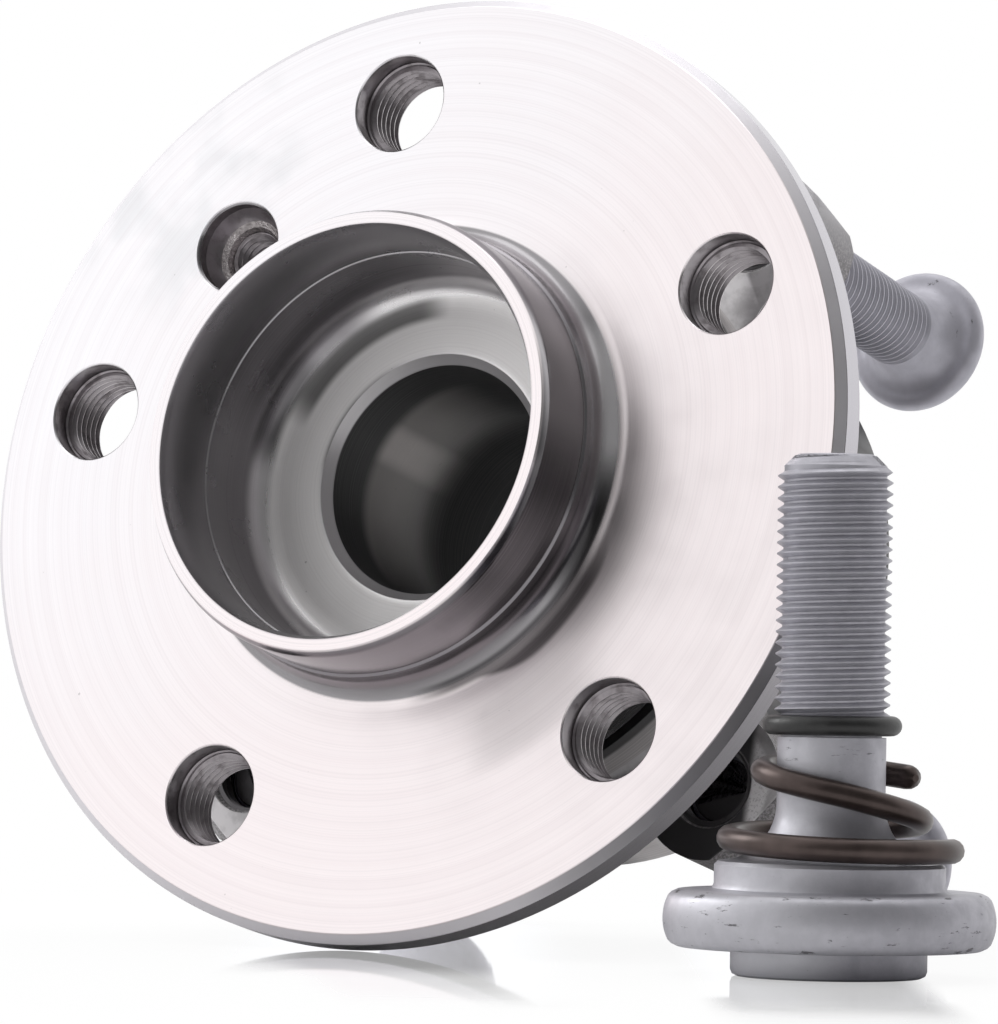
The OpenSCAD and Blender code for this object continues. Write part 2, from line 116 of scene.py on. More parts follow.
def arc(centre: Point, radius: float, start: float, end: float, steps: int = 8) -> list[Point]:
    """Gives points along an arc of a section.

    Args:
        centre: Radius and height of the arc's centre, in millimetres.
        radius: Radius of the arc.
        start: First angle in degrees, from the radial direction.
        end: Last angle in degrees.
        steps: Number of chords.

    Returns:
        The points, both ends included.
    """
    angles = [math.radians(start + (end - start) * k / steps) for k in range(steps + 1)]
    return [(centre[0] + radius * math.cos(a), centre[1] + radius * math.sin(a)) for a in angles]


def off_axis(angle: float, reach: float) -> Matrix:
    """Turns a local frame about the Z axis and moves it off that axis.

    Args:
        angle: Turn in degrees.
        reach: Distance from the axis.

    Returns:
        The matrix.
    """
    turn = Matrix.Rotation(math.radians(angle), 4, "Z")
    return turn @ Matrix.Translation((reach, 0.0, 0.0))


class Place:
    """Where pieces made about the Z axis, in millimetres, stand in the part's frame."""

    def __init__(self, origin: Vector, up: Vector, axis: Vector) -> None:
        """Sets up the placing.

        Args:
            origin: Origin of the local frame, in metres.
            up: Direction of the local X axis.
            axis: Direction of the local Z axis.
        """
        self.up = up.normalized()
        self.axis = axis.normalized()
        self.side = self.axis.cross(self.up)
        turn = Matrix((self.up, self.side, self.axis)).transposed().to_4x4()
        self.matrix = Matrix.Translation(origin) @ turn @ Matrix.Scale(MM, 4)

    def turned(self, angle: float, reach: float) -> Matrix:
        """Place of a local frame off the axis, turned from straight up by degrees."""
        turn = Matrix.Rotation(math.radians(angle), 4, "Z")
        return self.matrix @ turn @ Matrix.Translation((reach, 0.0, 0.0))


class Shop:
    """Makes turned, threaded and drilled meshes in millimetres about the Z axis."""

    tooth_half = 0.43
    tooth_tip = 0.06

    def __init__(self) -> None:
        """Starts with an empty mesh."""
        self.bm = bmesh.new()

    def turn(self, section: Sequence[Point], steps: int = 96, closed: bool = False) -> "Shop":
        """Revolves a section about the Z axis.

        Args:
            section: Radius and height of each point.
            steps: Number of faces round the axis.
            closed: Whether the last point joins the first, as on a piece with a bore.

        Returns:
            This shop.
        """
        verts = [self.bm.verts.new((r, 0.0, z)) for r, z in section]
        ends = verts[1:] + (verts[:1] if closed else [])
        edges = [self.bm.edges.new(pair) for pair in zip(verts, ends)]
        bmesh.ops.spin(
            self.bm, geom=verts + edges, cent=(0, 0, 0), axis=(0, 0, 1), dvec=(0, 0, 0),
            angle=FULL_TURN, steps=steps, use_merge=True)
        return self.tidy()

    def thread(self, root: float, crest: float, pitch: float, low: float, high: float,
               cone: tuple[float, float] | None = None, steps: int = 40) -> "Shop":
        """Adds a helical thread ridge between two heights.

        Args:
            root: Radius at the foot of the ridge.
            crest: Radius at its crest, smaller than the root on an inside thread.
            pitch: Advance for each turn.
            low: Lower end of the thread.
            high: Upper end of the thread.
            cone: Height where a 45 degree end chamfer starts and the radius there.
            steps: Number of faces for each turn.

        Returns:
            This shop.
        """
        ridge = bmesh.new()
        half, tip = self.tooth_half * pitch, self.tooth_tip * pitch
        section = [(root, -half), (crest, -tip), (crest, tip), (root, half)]
        verts = [ridge.verts.new((r, 0.0, low - pitch + z)) for r, z in section]
        edges = [ridge.edges.new(pair) for pair in zip(verts, verts[1:] + verts[:1])]
        turns = math.ceil((high - low) / pitch) + 2
        bmesh.ops.spin(
            ridge, geom=verts + edges, cent=(0, 0, 0), axis=(0, 0, 1),
            dvec=(0, 0, pitch / steps), angle=FULL_TURN * turns, steps=steps * turns)
        for height, outward in ((low, -1.0), (high, 1.0)):
            bmesh.ops.bisect_plane(
                ridge, geom=ridge.verts[:] + ridge.edges[:] + ridge.faces[:], dist=1e-5,
                plane_co=(0, 0, height), plane_no=(0, 0, outward), clear_outer=True)
        rims = [e for e in ridge.edges if e.is_boundary]
        bmesh.ops.holes_fill(ridge, edges=rims, sides=0)
        if cone is not None:
            for vert in ridge.verts:
                reach = math.hypot(vert.co.x, vert.co.y)
                limit = max(cone[1] - max(vert.co.z - cone[0], 0.0), 0.1)
                if reach > limit:
                    vert.co.x *= limit / reach
                    vert.co.y *= limit / reach
        bmesh.ops.recalc_face_normals(ridge, faces=ridge.faces)
        self.absorb(ridge)
        return self

    def absorb(self, other: bmesh.types.BMesh, matrix: Matrix | None = None) -> None:
        """Takes over the faces of another mesh.

        Args:
            other: The mesh to copy and free.
            matrix: Where to put it, if not where it is.
        """
        copy = bpy.data.meshes.new("copy")
        if matrix is not None:
            other.transform(matrix)
        other.to_mesh(copy)
        other.free()
        self.bm.from_mesh(copy)
        bpy.data.meshes.remove(copy)

    def prism(self, outline: Sequence[Point], low: float, high: float) -> "Shop":
        """Extrudes an outline along the Z axis.

        Args:
            outline: X and Y of each corner, anticlockwise.
            low: Lower height.
            high: Upper height.

        Returns:
            This shop.
        """
        base = self.bm.faces.new([self.bm.verts.new((x, y, low)) for x, y in outline])
        grown = bmesh.ops.extrude_face_region(self.bm, geom=[base], use_keep_orig=True)
        tops = [v for v in grown["geom"] if isinstance(v, bmesh.types.BMVert)]
        bmesh.ops.translate(self.bm, verts=tops, vec=(0, 0, high - low))
        return self.tidy()

    def tidy(self) -> "Shop":
        """Merges doubles and turns every shell's faces outwards.

        Returns:
            This shop.
        """
        bmesh.ops.remove_doubles(self.bm, verts=self.bm.verts, dist=1e-4)
        bmesh.ops.dissolve_degenerate(self.bm, edges=self.bm.edges, dist=1e-5)
        bmesh.ops.recalc_face_normals(self.bm, faces=self.bm.faces)
        return self

    def make(self, name: str, matrix: Matrix, sharp: float = SHARP_EDGE) -> bpy.types.Object:
        """Puts the mesh into the scene.

        Args:
            name: Name of the new object.
            matrix: Where it stands in the part's frame.
            sharp: Angle in degrees above which an edge stays sharp.

        Returns:
            The new object, at the origin with its place in its mesh.
        """
        self.bm.transform(matrix)
        mesh = bpy.data.meshes.new(name)
        self.bm.to_mesh(mesh)
        self.bm.free()
        piece = add_object(name, mesh)
        soften(piece, sharp)
        return piece


def soften(piece: bpy.types.Object, sharp: float = SHARP_EDGE) -> None:
    """Shades a piece smooth, apart from its sharp edges.

    Args:
        piece: The object.
        sharp: Angle in degrees above which an edge stays sharp.
    """
    mesh = piece.data
    mesh.polygons.foreach_set("use_smooth", [True] * len(mesh.polygons))
    mesh.set_sharp_from_angle(angle=math.radians(sharp))
    mesh.update()


def drill(piece: bpy.types.Object, cutter: bpy.types.Object, sharp: float = SHARP_EDGE) -> None:
    """Cuts one object out of another and removes the cutter.

    Args:
        piece: The object that is cut.
        cutter: Closed shells that are taken away from it.
        sharp: Angle in degrees above which an edge stays sharp.
    """
    cut = piece.modifiers.new("drill", "BOOLEAN")
    cut.operation = "DIFFERENCE"
    cut.solver = "EXACT"
    cut.object = cutter
    bpy.context.view_layer.update()
    graph = bpy.context.evaluated_depsgraph_get()
    mesh = bpy.data.meshes.new_from_object(piece.evaluated_get(graph))
    piece.modifiers.clear()
    old = piece.data
    piece.data = mesh
    mesh.name = piece.name
    bpy.data.meshes.remove(old)
    spare = cutter.data
    bpy.data.objects.remove(cutter)
    bpy.data.meshes.remove(spare)
    mesh.materials.clear()
    soften(piece, sharp)


class Value:
    """An output socket that takes part in Python arithmetic."""

    def __init__(self, graph: "Graph", socket: bpy.types.NodeSocket) -> None:
        """Keeps the socket and its graph."""
        self.graph = graph
        self.socket = socket

    def maths(self, operation: str, *others: Any) -> "Value":
        """Adds a Math node whose first input is this value."""
        inputs = dict(enumerate((self, *others)))
        return self.graph.node("ShaderNodeMath", {"operation": operation}, inputs)

    def __add__(self, other: Any) -> "Value":
        """Sum."""
        return self.maths("ADD", other)

    def __sub__(self, other: Any) -> "Value":
        """Difference."""
        return self.maths("SUBTRACT", other)

    def __rsub__(self, other: Any) -> "Value":
        """Difference the other way round."""
        return (self * -1.0) + other

    def __mul__(self, other: Any) -> "Value":
        """Product."""
        return self.maths("MULTIPLY", other)

    def __truediv__(self, other: Any) -> "Value":
        """Quotient."""
        return self.maths("DIVIDE", other)

    def __pow__(self, other: Any) -> "Value":
        """Power."""
        return self.maths("POWER", other)

    def most(self, other: Any) -> "Value":
        """Larger of two values."""
        return self.maths("MAXIMUM", other)

    def span(self, low: float, high: float, start: float = 0.0, end: float = 1.0) -> "Value":
        """Smooth step as this value goes from one limit to the other.

        Args:
            low: Where it starts. It may lie above high.
            high: Where it ends.
            start: Result at low and beyond it.
            end: Result at high and beyond it.

        Returns:
            The step.
        """
        return self.graph.node(
            "ShaderNodeMapRange", {"interpolation_type": "SMOOTHSTEP", "clamp": True},
            {0: self, 1: low, 2: high, 3: start, 4: end})

    def within(self, low: float, high: float, soft: float) -> "Value":
        """One between two limits and nought outside, with edges soft to both sides."""
        return self.span(low - soft, low + soft) * self.span(high - soft, high + soft, 1.0, 0.0)

    def along(self, direction: Sequence[float]) -> "Value":
        """Dot product with a fixed direction.

        Args:
            direction: The direction, with its length.

        Returns:
            The product, one number.
        """
        return self.graph.node(
            "ShaderNodeVectorMath", {"operation": "DOT_PRODUCT"},
            {0: self, 1: tuple(direction)}, "Value")

    def scaled(self, factors: Sequence[float]) -> "Value":
        """Vector times fixed factors, component by component."""
        return self.graph.node(
            "ShaderNodeVectorMath", {"operation": "MULTIPLY"}, {0: self, 1: tuple(factors)})


class Graph:
    """The node tree of one finish or of the world."""

    def __init__(self, tree: bpy.types.NodeTree) -> None:
        """Empties the tree that the finish is drawn in."""
        self.tree = tree
        tree.nodes.clear()

    def node(self, kind: str, settings: dict[str, Any] | None = None,
             inputs: dict[Any, Any] | None = None, output: int | str = 0) -> Value:
        """Adds one node.

        Args:
            kind: Type of the node.
            settings: Its own properties, set first.
            inputs: Values or links of its sockets, by name or number.
            output: Which output to give back.

        Returns:
            The chosen output.
        """
        made = self.tree.nodes.new(kind)
        for key, value in (settings or {}).items():
            setattr(made, key, value)
        for key, value in (inputs or {}).items():
            socket = made.inputs[key]
            if isinstance(value, Value):
                self.tree.links.new(value.socket, socket)
            elif isinstance(value, (tuple, list)) and len(value) == 3 and socket.type == "RGBA":
                socket.default_value = (*value, 1.0)
            else:
                socket.default_value = value
        if not made.outputs:
            return Value(self, None)
        return Value(self, made.outputs[output])

    def point(self) -> Value:
        """Place on the object, in metres in the part's frame."""
        return self.node("ShaderNodeTexCoord", output="Object")

    def vector(self, x: Any, y: Any, z: Any) -> Value:
        """Vector put together from three values."""
        return self.node("ShaderNodeCombineXYZ", None, {0: x, 1: y, 2: z})

    def noise(self, at: Value, scale: float, detail: float = 2.0, rough: float = 0.5) -> Value:
        """Soft noise from 0 to 1.

        Args:
            at: Where it is read, a vector.
            scale: Features for each unit of the vector.
            detail: Octaves.
            rough: Share of each next octave.

        Returns:
            The noise.
        """
        return self.node(
            "ShaderNodeTexNoise", {"noise_dimensions": "3D"},
            {"Vector": at, "Scale": scale, "Detail": detail, "Roughness": rough})

    def rings(self, at: Value, scale: float, detail: float = 2.0) -> Value:
        """Noise along one value, for tool marks.

        Args:
            at: The value it runs along.
            scale: Features for each unit of the value.
            detail: Octaves.

        Returns:
            The noise.
        """
        return self.node(
            "ShaderNodeTexNoise", {"noise_dimensions": "1D"},
            {"W": at, "Scale": scale, "Detail": detail})

    def blend(self, share: Any, first: Any, second: Any) -> Value:
        """Mixes two colours.

        Args:
            share: How much of the second colour.
            first: First colour or value.
            second: Second colour or value.

        Returns:
            The mixed colour.
        """
        return self.node(
            "ShaderNodeMix", {"data_type": "RGBA", "clamp_factor": True},
            {0: share, 6: first, 7: second}, 2)

    def bump(self, height: Value, distance: float) -> Value:
        """Normal roughened by a height of 1 for each distance, in metres."""
        return self.node(
            "ShaderNodeBump", None, {"Strength": 1.0, "Distance": distance, "Height": height})

    def ray(self, kind: str) -> Value:
        """One for rays of a kind, such as Camera, and nought for others."""
        return self.node("ShaderNodeLightPath", output=f"Is {kind} Ray")


class MaterialGraph(Graph):
    """The node tree of one finish, ending in one Principled shader."""

    def __init__(self, name: str) -> None:
        """Creates the material.

        Args:
            name: Name of the finish.
        """
        self.material = bpy.data.materials.new(name)
        self.material.use_nodes = True
        super().__init__(self.material.node_tree)

    def surface(self, inputs: dict[str, Any]) -> bpy.types.Material:
        """Ends the tree.

        Args:
            inputs: Sockets of the Principled shader.

        Returns:
            The finished material.
        """
        shader = self.node("ShaderNodeBsdfPrincipled", None, inputs)
        self.node("ShaderNodeOutputMaterial", None, {"Surface": shader})
        return self.material


@dataclass(frozen=True)
class AxlePoint:
    """Where a point lies round the hub's axis, in millimetres, as node values."""

    rho: Value
    depth: Value
    up: Value
    side: Value

    @classmethod
    def read(cls, graph: Graph, place: Place) -> "AxlePoint":
        """Works the values out from Object coordinates.

        Args:
            graph: The tree to add the nodes to.
            place: The frame they are measured in.

        Returns:
            The values.
        """
        origin = place.matrix.translation
        point = graph.node("ShaderNodeVectorMath", {"operation": "SUBTRACT"},
                           {0: graph.point(), 1: tuple(origin)})
        up = point.along(place.up / MM)
        side = point.along(place.side / MM)
        rho = (up * up + side * side) ** 0.5
        return cls(rho, point.along(place.axis / MM), up, side)

    def fan(self, angle: float, low: float, high: float) -> Value:
        """Gives a fan about the axis, in which painted light and painted shade are drawn.

        Args:
            angle: Its middle, in degrees from straight up.
            low: Cosine of the distance from its middle where it ends.
            high: Cosine of the distance where it is full.

        Returns:
            One in the fan and nought outside it.
        """
        turn = math.radians(angle)
        across = self.up * math.cos(turn) + self.side * math.sin(turn)
        return (across / self.rho).span(low, high)


@dataclass(frozen=True)
class TurnedSteel:
    """Bright turned steel of the hub: white wheel face, with painted shade on the grey collar, the
    dark bore and the dark neck.

    Angles are turns about the axis from straight up, in degrees, and depths run along the axis from
    the wheel face. Painted highlights, painted reflections and painted shade are drawn in fans
    about the axis and in bands by depth, each where it falls as seen from the camera.
    """

    place: Place
    collar_r: float
    rim_r: float
    back: float
    face_band: Triple = (-0.15, 0.3, 0.1)
    bore_edge: Point = (18.0, 17.6)
    face: Colour = (0.915, 0.845, 0.855)
    # The next two colours paint a reflection tint and a grey reflection on the wheel face.
    cool: Colour = (0.915, 0.90, 0.925)
    reflection_grey: Colour = (0.66, 0.68, 0.70)
    # Colours of one steel by zone: the collar's wall, root and inside, the rim's edge and bevel,
    # the bore and the neck are painted darker as shade, and the bright, curve, floor and gleam
    # colours are painted light on it.
    wall: Colour = (0.25, 0.235, 0.25)
    root: Colour = (0.29, 0.28, 0.29)
    bright: Colour = (0.93, 0.91, 0.93)
    inside: Colour = (0.31, 0.295, 0.31)
    shade: Colour = (0.15, 0.14, 0.15)
    curve: Colour = (0.85, 0.83, 0.84)
    floor: Colour = (0.99, 0.97, 0.965)
    # Near black, for painted shade in the recess.
    oil: Colour = (0.02, 0.02, 0.02)
    lip: Colour = (0.55, 0.535, 0.545)
    edge: Colour = (0.52, 0.505, 0.54)
    bevel: Colour = (0.64, 0.62, 0.65)
    bore: Colour = (0.056, 0.056, 0.057)
    gleam: Colour = (0.82, 0.77, 0.75)
    neck_shade: Colour = (0.045, 0.043, 0.043)
    speck: Colour = (0.30, 0.28, 0.28)
    mark: Colour = (0.45, 0.43, 0.45)
    sweep: Colour = (0.6, 0.5, 0.52)

    def wheel_face(self, g: Graph, at: AxlePoint) -> Value:
        """Draws the wheel face with its pale clouds, its painted reflection tint and a painted grey
        reflection patch at its upper left.

        Args:
            g: The tree.
            at: Where the point lies.

        Returns:
            The colour.
        """
        # The face turns cooler towards the upper left, a painted reflection tint, broken by random
        # clouds.
        corner = at.up * 0.70 + at.side * 0.71
        cloud = g.noise(g.point(), 22.0, 3.0)
        face = g.blend((corner * 0.014 + cloud).span(0.1, 1.3), self.face, self.cool)
        # Painted reflection: a grey patch in a fan at the face's upper left.
        patch = g.noise(g.vector(at.up, at.side, 0.0), 0.10, 2.0, 0.5).span(0.40, 0.66)
        glint = at.fan(45.4, 0.93, 0.99) * at.rho.span(38.0, 52.0) * patch
        return g.blend(glint * 0.4, face, self.reflection_grey)

    def outside(self, g: Graph, at: AxlePoint, face: Value) -> tuple[Value, Value]:
        """Draws the collar's outside and the fillet at its root, with their painted highlights and
        painted shade.

        Args:
            g: The tree.
            at: Where the point lies.
            face: Colour of the wheel face.

        Returns:
            The colour, and how much of it is matt.
        """
        root = at.depth.span(2.9, 0.9)
        # Painted highlight: a pale fan on the right of the collar's wall and fillet.
        lift = at.fan(-78.0, 0.90, 0.995)
        # Painted shade: dark fans at the lower right on the wall and fillet, weaker just above the
        # fillet.
        foot = 0.62 - at.depth.within(2.0, 6.5, 1.5) * 0.22
        dark = g.blend(
            root, at.fan(-114.0, 0.85, 0.985) * foot, at.fan(-107.0, 0.93, 0.998) * 0.81)
        steel = g.blend(root, g.blend(lift * 0.36, self.wall, self.bright),
                        g.blend(lift, self.root, self.bright))
        steel = g.blend(dark, steel, (0.0, 0.0, 0.0))
        mouth = at.depth.span(16.6, 17.0)
        steel = g.blend(at.depth.within(*self.face_band).most(mouth), steel, face)
        # Painted reflection: a dark arc on the fillet and the face beside it at the lower right.
        reach = at.rho - at.fan(-126.0, 0.90, 0.99) * 2.2
        shade_crescent = reach.span(37.3, 36.3) * at.rho.span(34.8, 35.5) * at.fan(-138.0, 0.84, 0.95)
        steel = g.blend(shade_crescent * at.depth.span(1.2, 0.6) * 0.8, steel, (0.02, 0.018, 0.02))
        # Painted highlight: the face goes matt in a fan at the lower right to show a pale glint,
        # and the lit fillet a little too.
        flare = at.fan(-143.0, 0.955, 0.995) * at.rho.within(40.5, 50.0, 2.0)
        return steel, flare * 0.75 + lift * root * at.depth.span(0.2, 0.5) * 0.2

    def within(self, g: Graph, at: AxlePoint, steel: Value) -> tuple[Value, Value]:
        """Draws the collar's inside, its recess and the bore, with their painted shade, painted
        highlights and painted reflection.

        Args:
            g: The tree.
            at: Where the point lies.
            steel: Colour of everything else.

        Returns:
            The colour, and how much of it is matt.
        """
        inner = at.rho.span(self.collar_r + 0.9, self.collar_r + 0.5)
        # Painted shade: the inside wall darkens above the recess, most at the upper left.
        inner_shade = at.depth.within(-4.0, 8.0, 2.0) * (at.fan(40.0, 0.68, 0.93) * 0.75 + 0.25)
        round_off = at.depth.span(-3.6, -5.2)
        # Painted highlight: the recess fillet is pale, apart from a fan at the upper left.
        curve = at.depth.span(-4.4, -6.4) * (1.0 - at.fan(57.0, 0.82, 0.955) * 0.97)
        inside = g.blend(curve, g.blend(inner_shade, self.inside, self.shade), self.curve)
        # Painted shade: the start of the fillet darkens in a fan to the upper left.
        inside = g.blend(round_off * at.fan(68.0, 0.94, 0.99) * 0.55, inside, self.oil)
        steel = g.blend(inner, steel, inside)
        # Painted light: the recess floor is near white and matt, with a band of painted shade on it
        # towards the upper left.
        floor = at.depth.span(-5.0, -7.6) * at.rho.within(18.9, 27.5, 0.8)
        stain_and_shade = at.fan(37.0, 0.80, 0.92) * at.rho.within(24.4, 28.4, 0.7)
        steel = g.blend(floor, steel, g.blend(stain_and_shade * 0.78, self.floor, self.oil))
        lip = at.rho.within(17.45, 18.75, 0.1) * at.depth.within(-9.45, -7.9, 0.1)
        steel = g.blend(lip, steel, self.lip)
        # Painted shade: the bore is near black, with a painted reflection glowing on its left, deep
        # inside.
        hollow = at.rho.span(*self.bore_edge) * at.depth.span(-9.2, -9.6)
        glow = at.depth.span(-43.0, -25.0) * at.depth.span(-16.8, -20.4)
        glow = glow * (at.fan(75.0, 0.3, 0.95) * 0.5 + at.fan(61.0, 0.975, 0.999) * 0.5)
        steel = g.blend(hollow, steel, g.blend(glow, self.bore, self.gleam))
        matt = (inner * (1.0 - floor) * 0.25).most(floor * 0.72)
        return steel, matt + lip * 0.2 + hollow * 0.5

    def build(self) -> bpy.types.Material:
        """Draws the finish.

        Returns:
            The material.
        """
        g = MaterialGraph("turned_steel")
        at = AxlePoint.read(g, self.place)
        steel, matt = self.outside(g, at, self.wheel_face(g, at))
        colour, dull = self.within(g, at, steel)
        on_face = at.depth.within(*self.face_band)
        # Painted highlight: a thin bright line along the step on the collar's outside, and a dark
        # line along it inside.
        step = at.depth.within(5.58, 5.84, 0.05) * at.rho.within(29.0, 34.2, 0.2)
        outer = at.rho.span(33.1, 33.2)
        colour = g.blend(step * (outer * 0.3 + 0.3), colour, g.blend(outer, self.bright, self.wall))
        # Painted shade: the rim's outer edge is darker than the face, darkest at the lower right.
        rim = at.rho.span(self.rim_r - 6.0, self.rim_r - 1.1) * at.depth.span(-0.1, -0.25)
        low = at.fan(-138.0, 0.55, 0.97) * 0.5
        colour = g.blend(rim, colour, g.blend(low, self.edge, (0.06, 0.05, 0.05)))
        # Painted shade: the rim's chamfer darkens towards black at the lower right.
        bevel = at.rho.span(self.rim_r - 1.35, self.rim_r - 1.2)
        bevel = bevel * at.depth.within(-1.35, -0.1, 0.08)
        low = at.fan(-128.0, 0.86, 0.99) * 0.6
        colour = g.blend(bevel, colour, g.blend(low, self.bevel, (0.03, 0.03, 0.03)))
        # Painted shade: behind the flange the neck is near black, while the flange's back beyond a
        # radius of 49 and the spindle past the seal land stay lighter.
        behind = at.depth.span(self.back + 0.1, self.back - 0.4) * at.rho.span(18.2, 18.6)
        highlit = at.depth.span(-29.0, -31.0).most(at.rho.span(46.0, 49.0) * 0.8)
        colour = g.blend(behind, colour, g.blend(highlit, self.neck_shade, self.root))
        travel = at.rho + at.depth * 0.91
        marks = g.rings(travel, 3.4, 4.0)
        coarse = g.rings(travel, 0.55, 2.0)
        stray = g.noise(g.vector(at.up, at.side * 1.2, at.depth), 0.5, 5.0, 0.72)
        nick = stray.span(0.73, 0.76)
        speck = g.noise(g.point(), 900.0, 2.0).span(0.77, 0.82)
        colour = g.blend((speck * 0.45).most(nick * 0.35), colour, self.speck)
        colour = g.blend(marks.span(0.35, 0.75) * 0.10, colour, self.mark)
        colour = g.blend(coarse.span(0.35, 0.7) * 0.07 * on_face, colour, self.sweep)
        wear = g.noise(g.point(), 140.0, 3.0).span(0.3, 0.75, 0.0, 0.06)
        deep = at.rho.span(*self.bore_edge) * at.depth.span(-32.0, -43.0)
        rough = wear + on_face * 0.12 + dull * 0.35 + bevel * 0.2 + deep * 0.5 + 0.18
        height = marks * 0.7 + coarse * 0.3
        return g.surface({
            "Base Color": colour, "Metallic": 1.0 - (matt + dull + bevel * 0.3),
            "Roughness": rough, "Normal": g.bump(height, 5.0e-6)})


@dataclass(frozen=True)
class CutSteel:
    """Grey cut steel in the tapped holes, smooth or torn by the tool.

    The grain is the depth of its tool marks, in metres.
    """

    name: str
    colour: Colour = (0.34, 0.315, 0.33)
    dark: Colour = (0.15, 0.13, 0.135)
    grain: float = 1.5e-5
    rough: float = 0.30

    def build(self) -> bpy.types.Material:
        """Draws the finish.

        Returns:
            The material.
        """
        g = MaterialGraph(self.name)
        grime = g.noise(g.point(), 420.0, 4.0, 0.6).span(0.45, 0.72)
        fine = g.noise(g.point(), 2300.0, 3.0, 0.6)
        return g.surface({
            "Base Color": g.blend(grime * 0.6, self.colour, self.dark), "Metallic": 0.9,
            "Roughness": grime.span(0.0, 1.0, self.rough, self.rough + 0.15),
            "Normal": g.bump(fine, self.grain)})


@dataclass(frozen=True)
class ForgedSteel:
    """Dark outer ring: rough forged ear edges, turned ring, machined ear faces, with painted
    highlights and painted shade.

    The hole is the lower right ear's, the one whose face is painted dark as a reflection, as up and
    side.
    """

    place: Place
    ring_r: float
    ring_front: float
    ear_front: float
    skin: Colour = (0.17, 0.16, 0.165)
    crest: Colour = (0.44, 0.42, 0.43)
    top_highlight: Colour = (0.64, 0.63, 0.66)
    # Near black: painted shade on the ring's front face, and the darker back of its turned outside.
    ground: Colour = (0.10, 0.098, 0.10)
    turned: Colour = (0.58, 0.55, 0.55)
    machined: Colour = (0.62, 0.60, 0.61)
    # Near black, for the painted reflection on that ear's face and the painted shade in its hole.
    ear_shade: Colour = (0.075, 0.073, 0.076)
    glint: Colour = (0.95, 0.93, 0.94)
    hole: Point = (-39.67, -39.95)

    def build(self) -> bpy.types.Material:
        """Draws the finish.

        Returns:
            The material.
        """
        g = MaterialGraph("forged_steel")
        at = AxlePoint.read(g, self.place)
        face = at.depth.within(self.ear_front - 0.12, self.ear_front + 0.3, 0.05)
        front = at.depth.span(self.ring_front - 1.1, self.ring_front - 0.6)
        ring = at.rho.span(self.ring_r + 0.35, self.ring_r + 0.1)
        grain = g.noise(g.point(), 2500.0, 4.0, 0.7)
        pits = g.noise(g.point(), 420.0, 3.0, 0.6)
        # Painted highlight: the upper parts of the forging are lighter, where light falls from
        # above.
        high = at.up.span(38.0, 56.0)
        colour = g.blend(high, g.blend(grain.span(0.42, 0.64) * 0.8, self.skin, self.crest),
                         g.blend(grain.span(0.44, 0.60) * 0.6, self.top_highlight, self.crest))
        streak = g.rings(at.depth, 2.5, 3.0).span(0.35, 0.7) * 0.35
        # Painted shade: the ring's front face, in the gap behind the flange, is near black; its
        # turned outside is lighter near the front and in a fan at the lower right, and darker
        # further back.
        pale = at.depth.span(-56.0, -34.0).most(at.fan(-152.0, 0.93, 0.98))
        turned = g.blend(pale, self.ground, g.blend(streak, self.turned, self.skin))
        turned = g.blend(front, turned, self.ground)
        colour = g.blend(ring, colour, turned)
        out, over = at.up - self.hole[0], at.side - self.hole[1]
        reach = (out * out + over * over) ** 0.5
        # Painted reflection: the lower right ear's face is painted near black where it shows a dark
        # reflection.
        ear_shade = at.fan(-137.0, 0.92, 0.96) * at.rho.span(48.0, 51.0) * at.side.span(-47.0, -45.4)
        plain = g.blend(pits.span(0.4, 0.7) * 0.3, self.machined, self.skin)
        # Painted highlight: a bright ring on the right of that ear's hole.
        rim = reach.within(6.0, 9.4, 0.4) * at.side.span(-45.2, -46.6)
        plain = g.blend(rim * (1.0 - grain.span(0.5, 0.62) * 0.6), plain, self.glint)
        colour = g.blend(face, colour, g.blend(ear_shade, plain, self.ear_shade))
        # Painted shade: the hole is near black.
        bored = reach.span(6.3, 6.1)
        colour = g.blend(bored, colour, self.ear_shade)
        smooth = ring.most(face).most(bored)
        height = (grain * 0.5 + pits * 0.5) * (1.0 - smooth * 0.9)
        return g.surface({
            "Base Color": colour, "Metallic": smooth * 0.35 + 0.35,
            "Roughness": smooth * -0.14 + 0.55, "Normal": g.bump(height, 1.5e-4)})


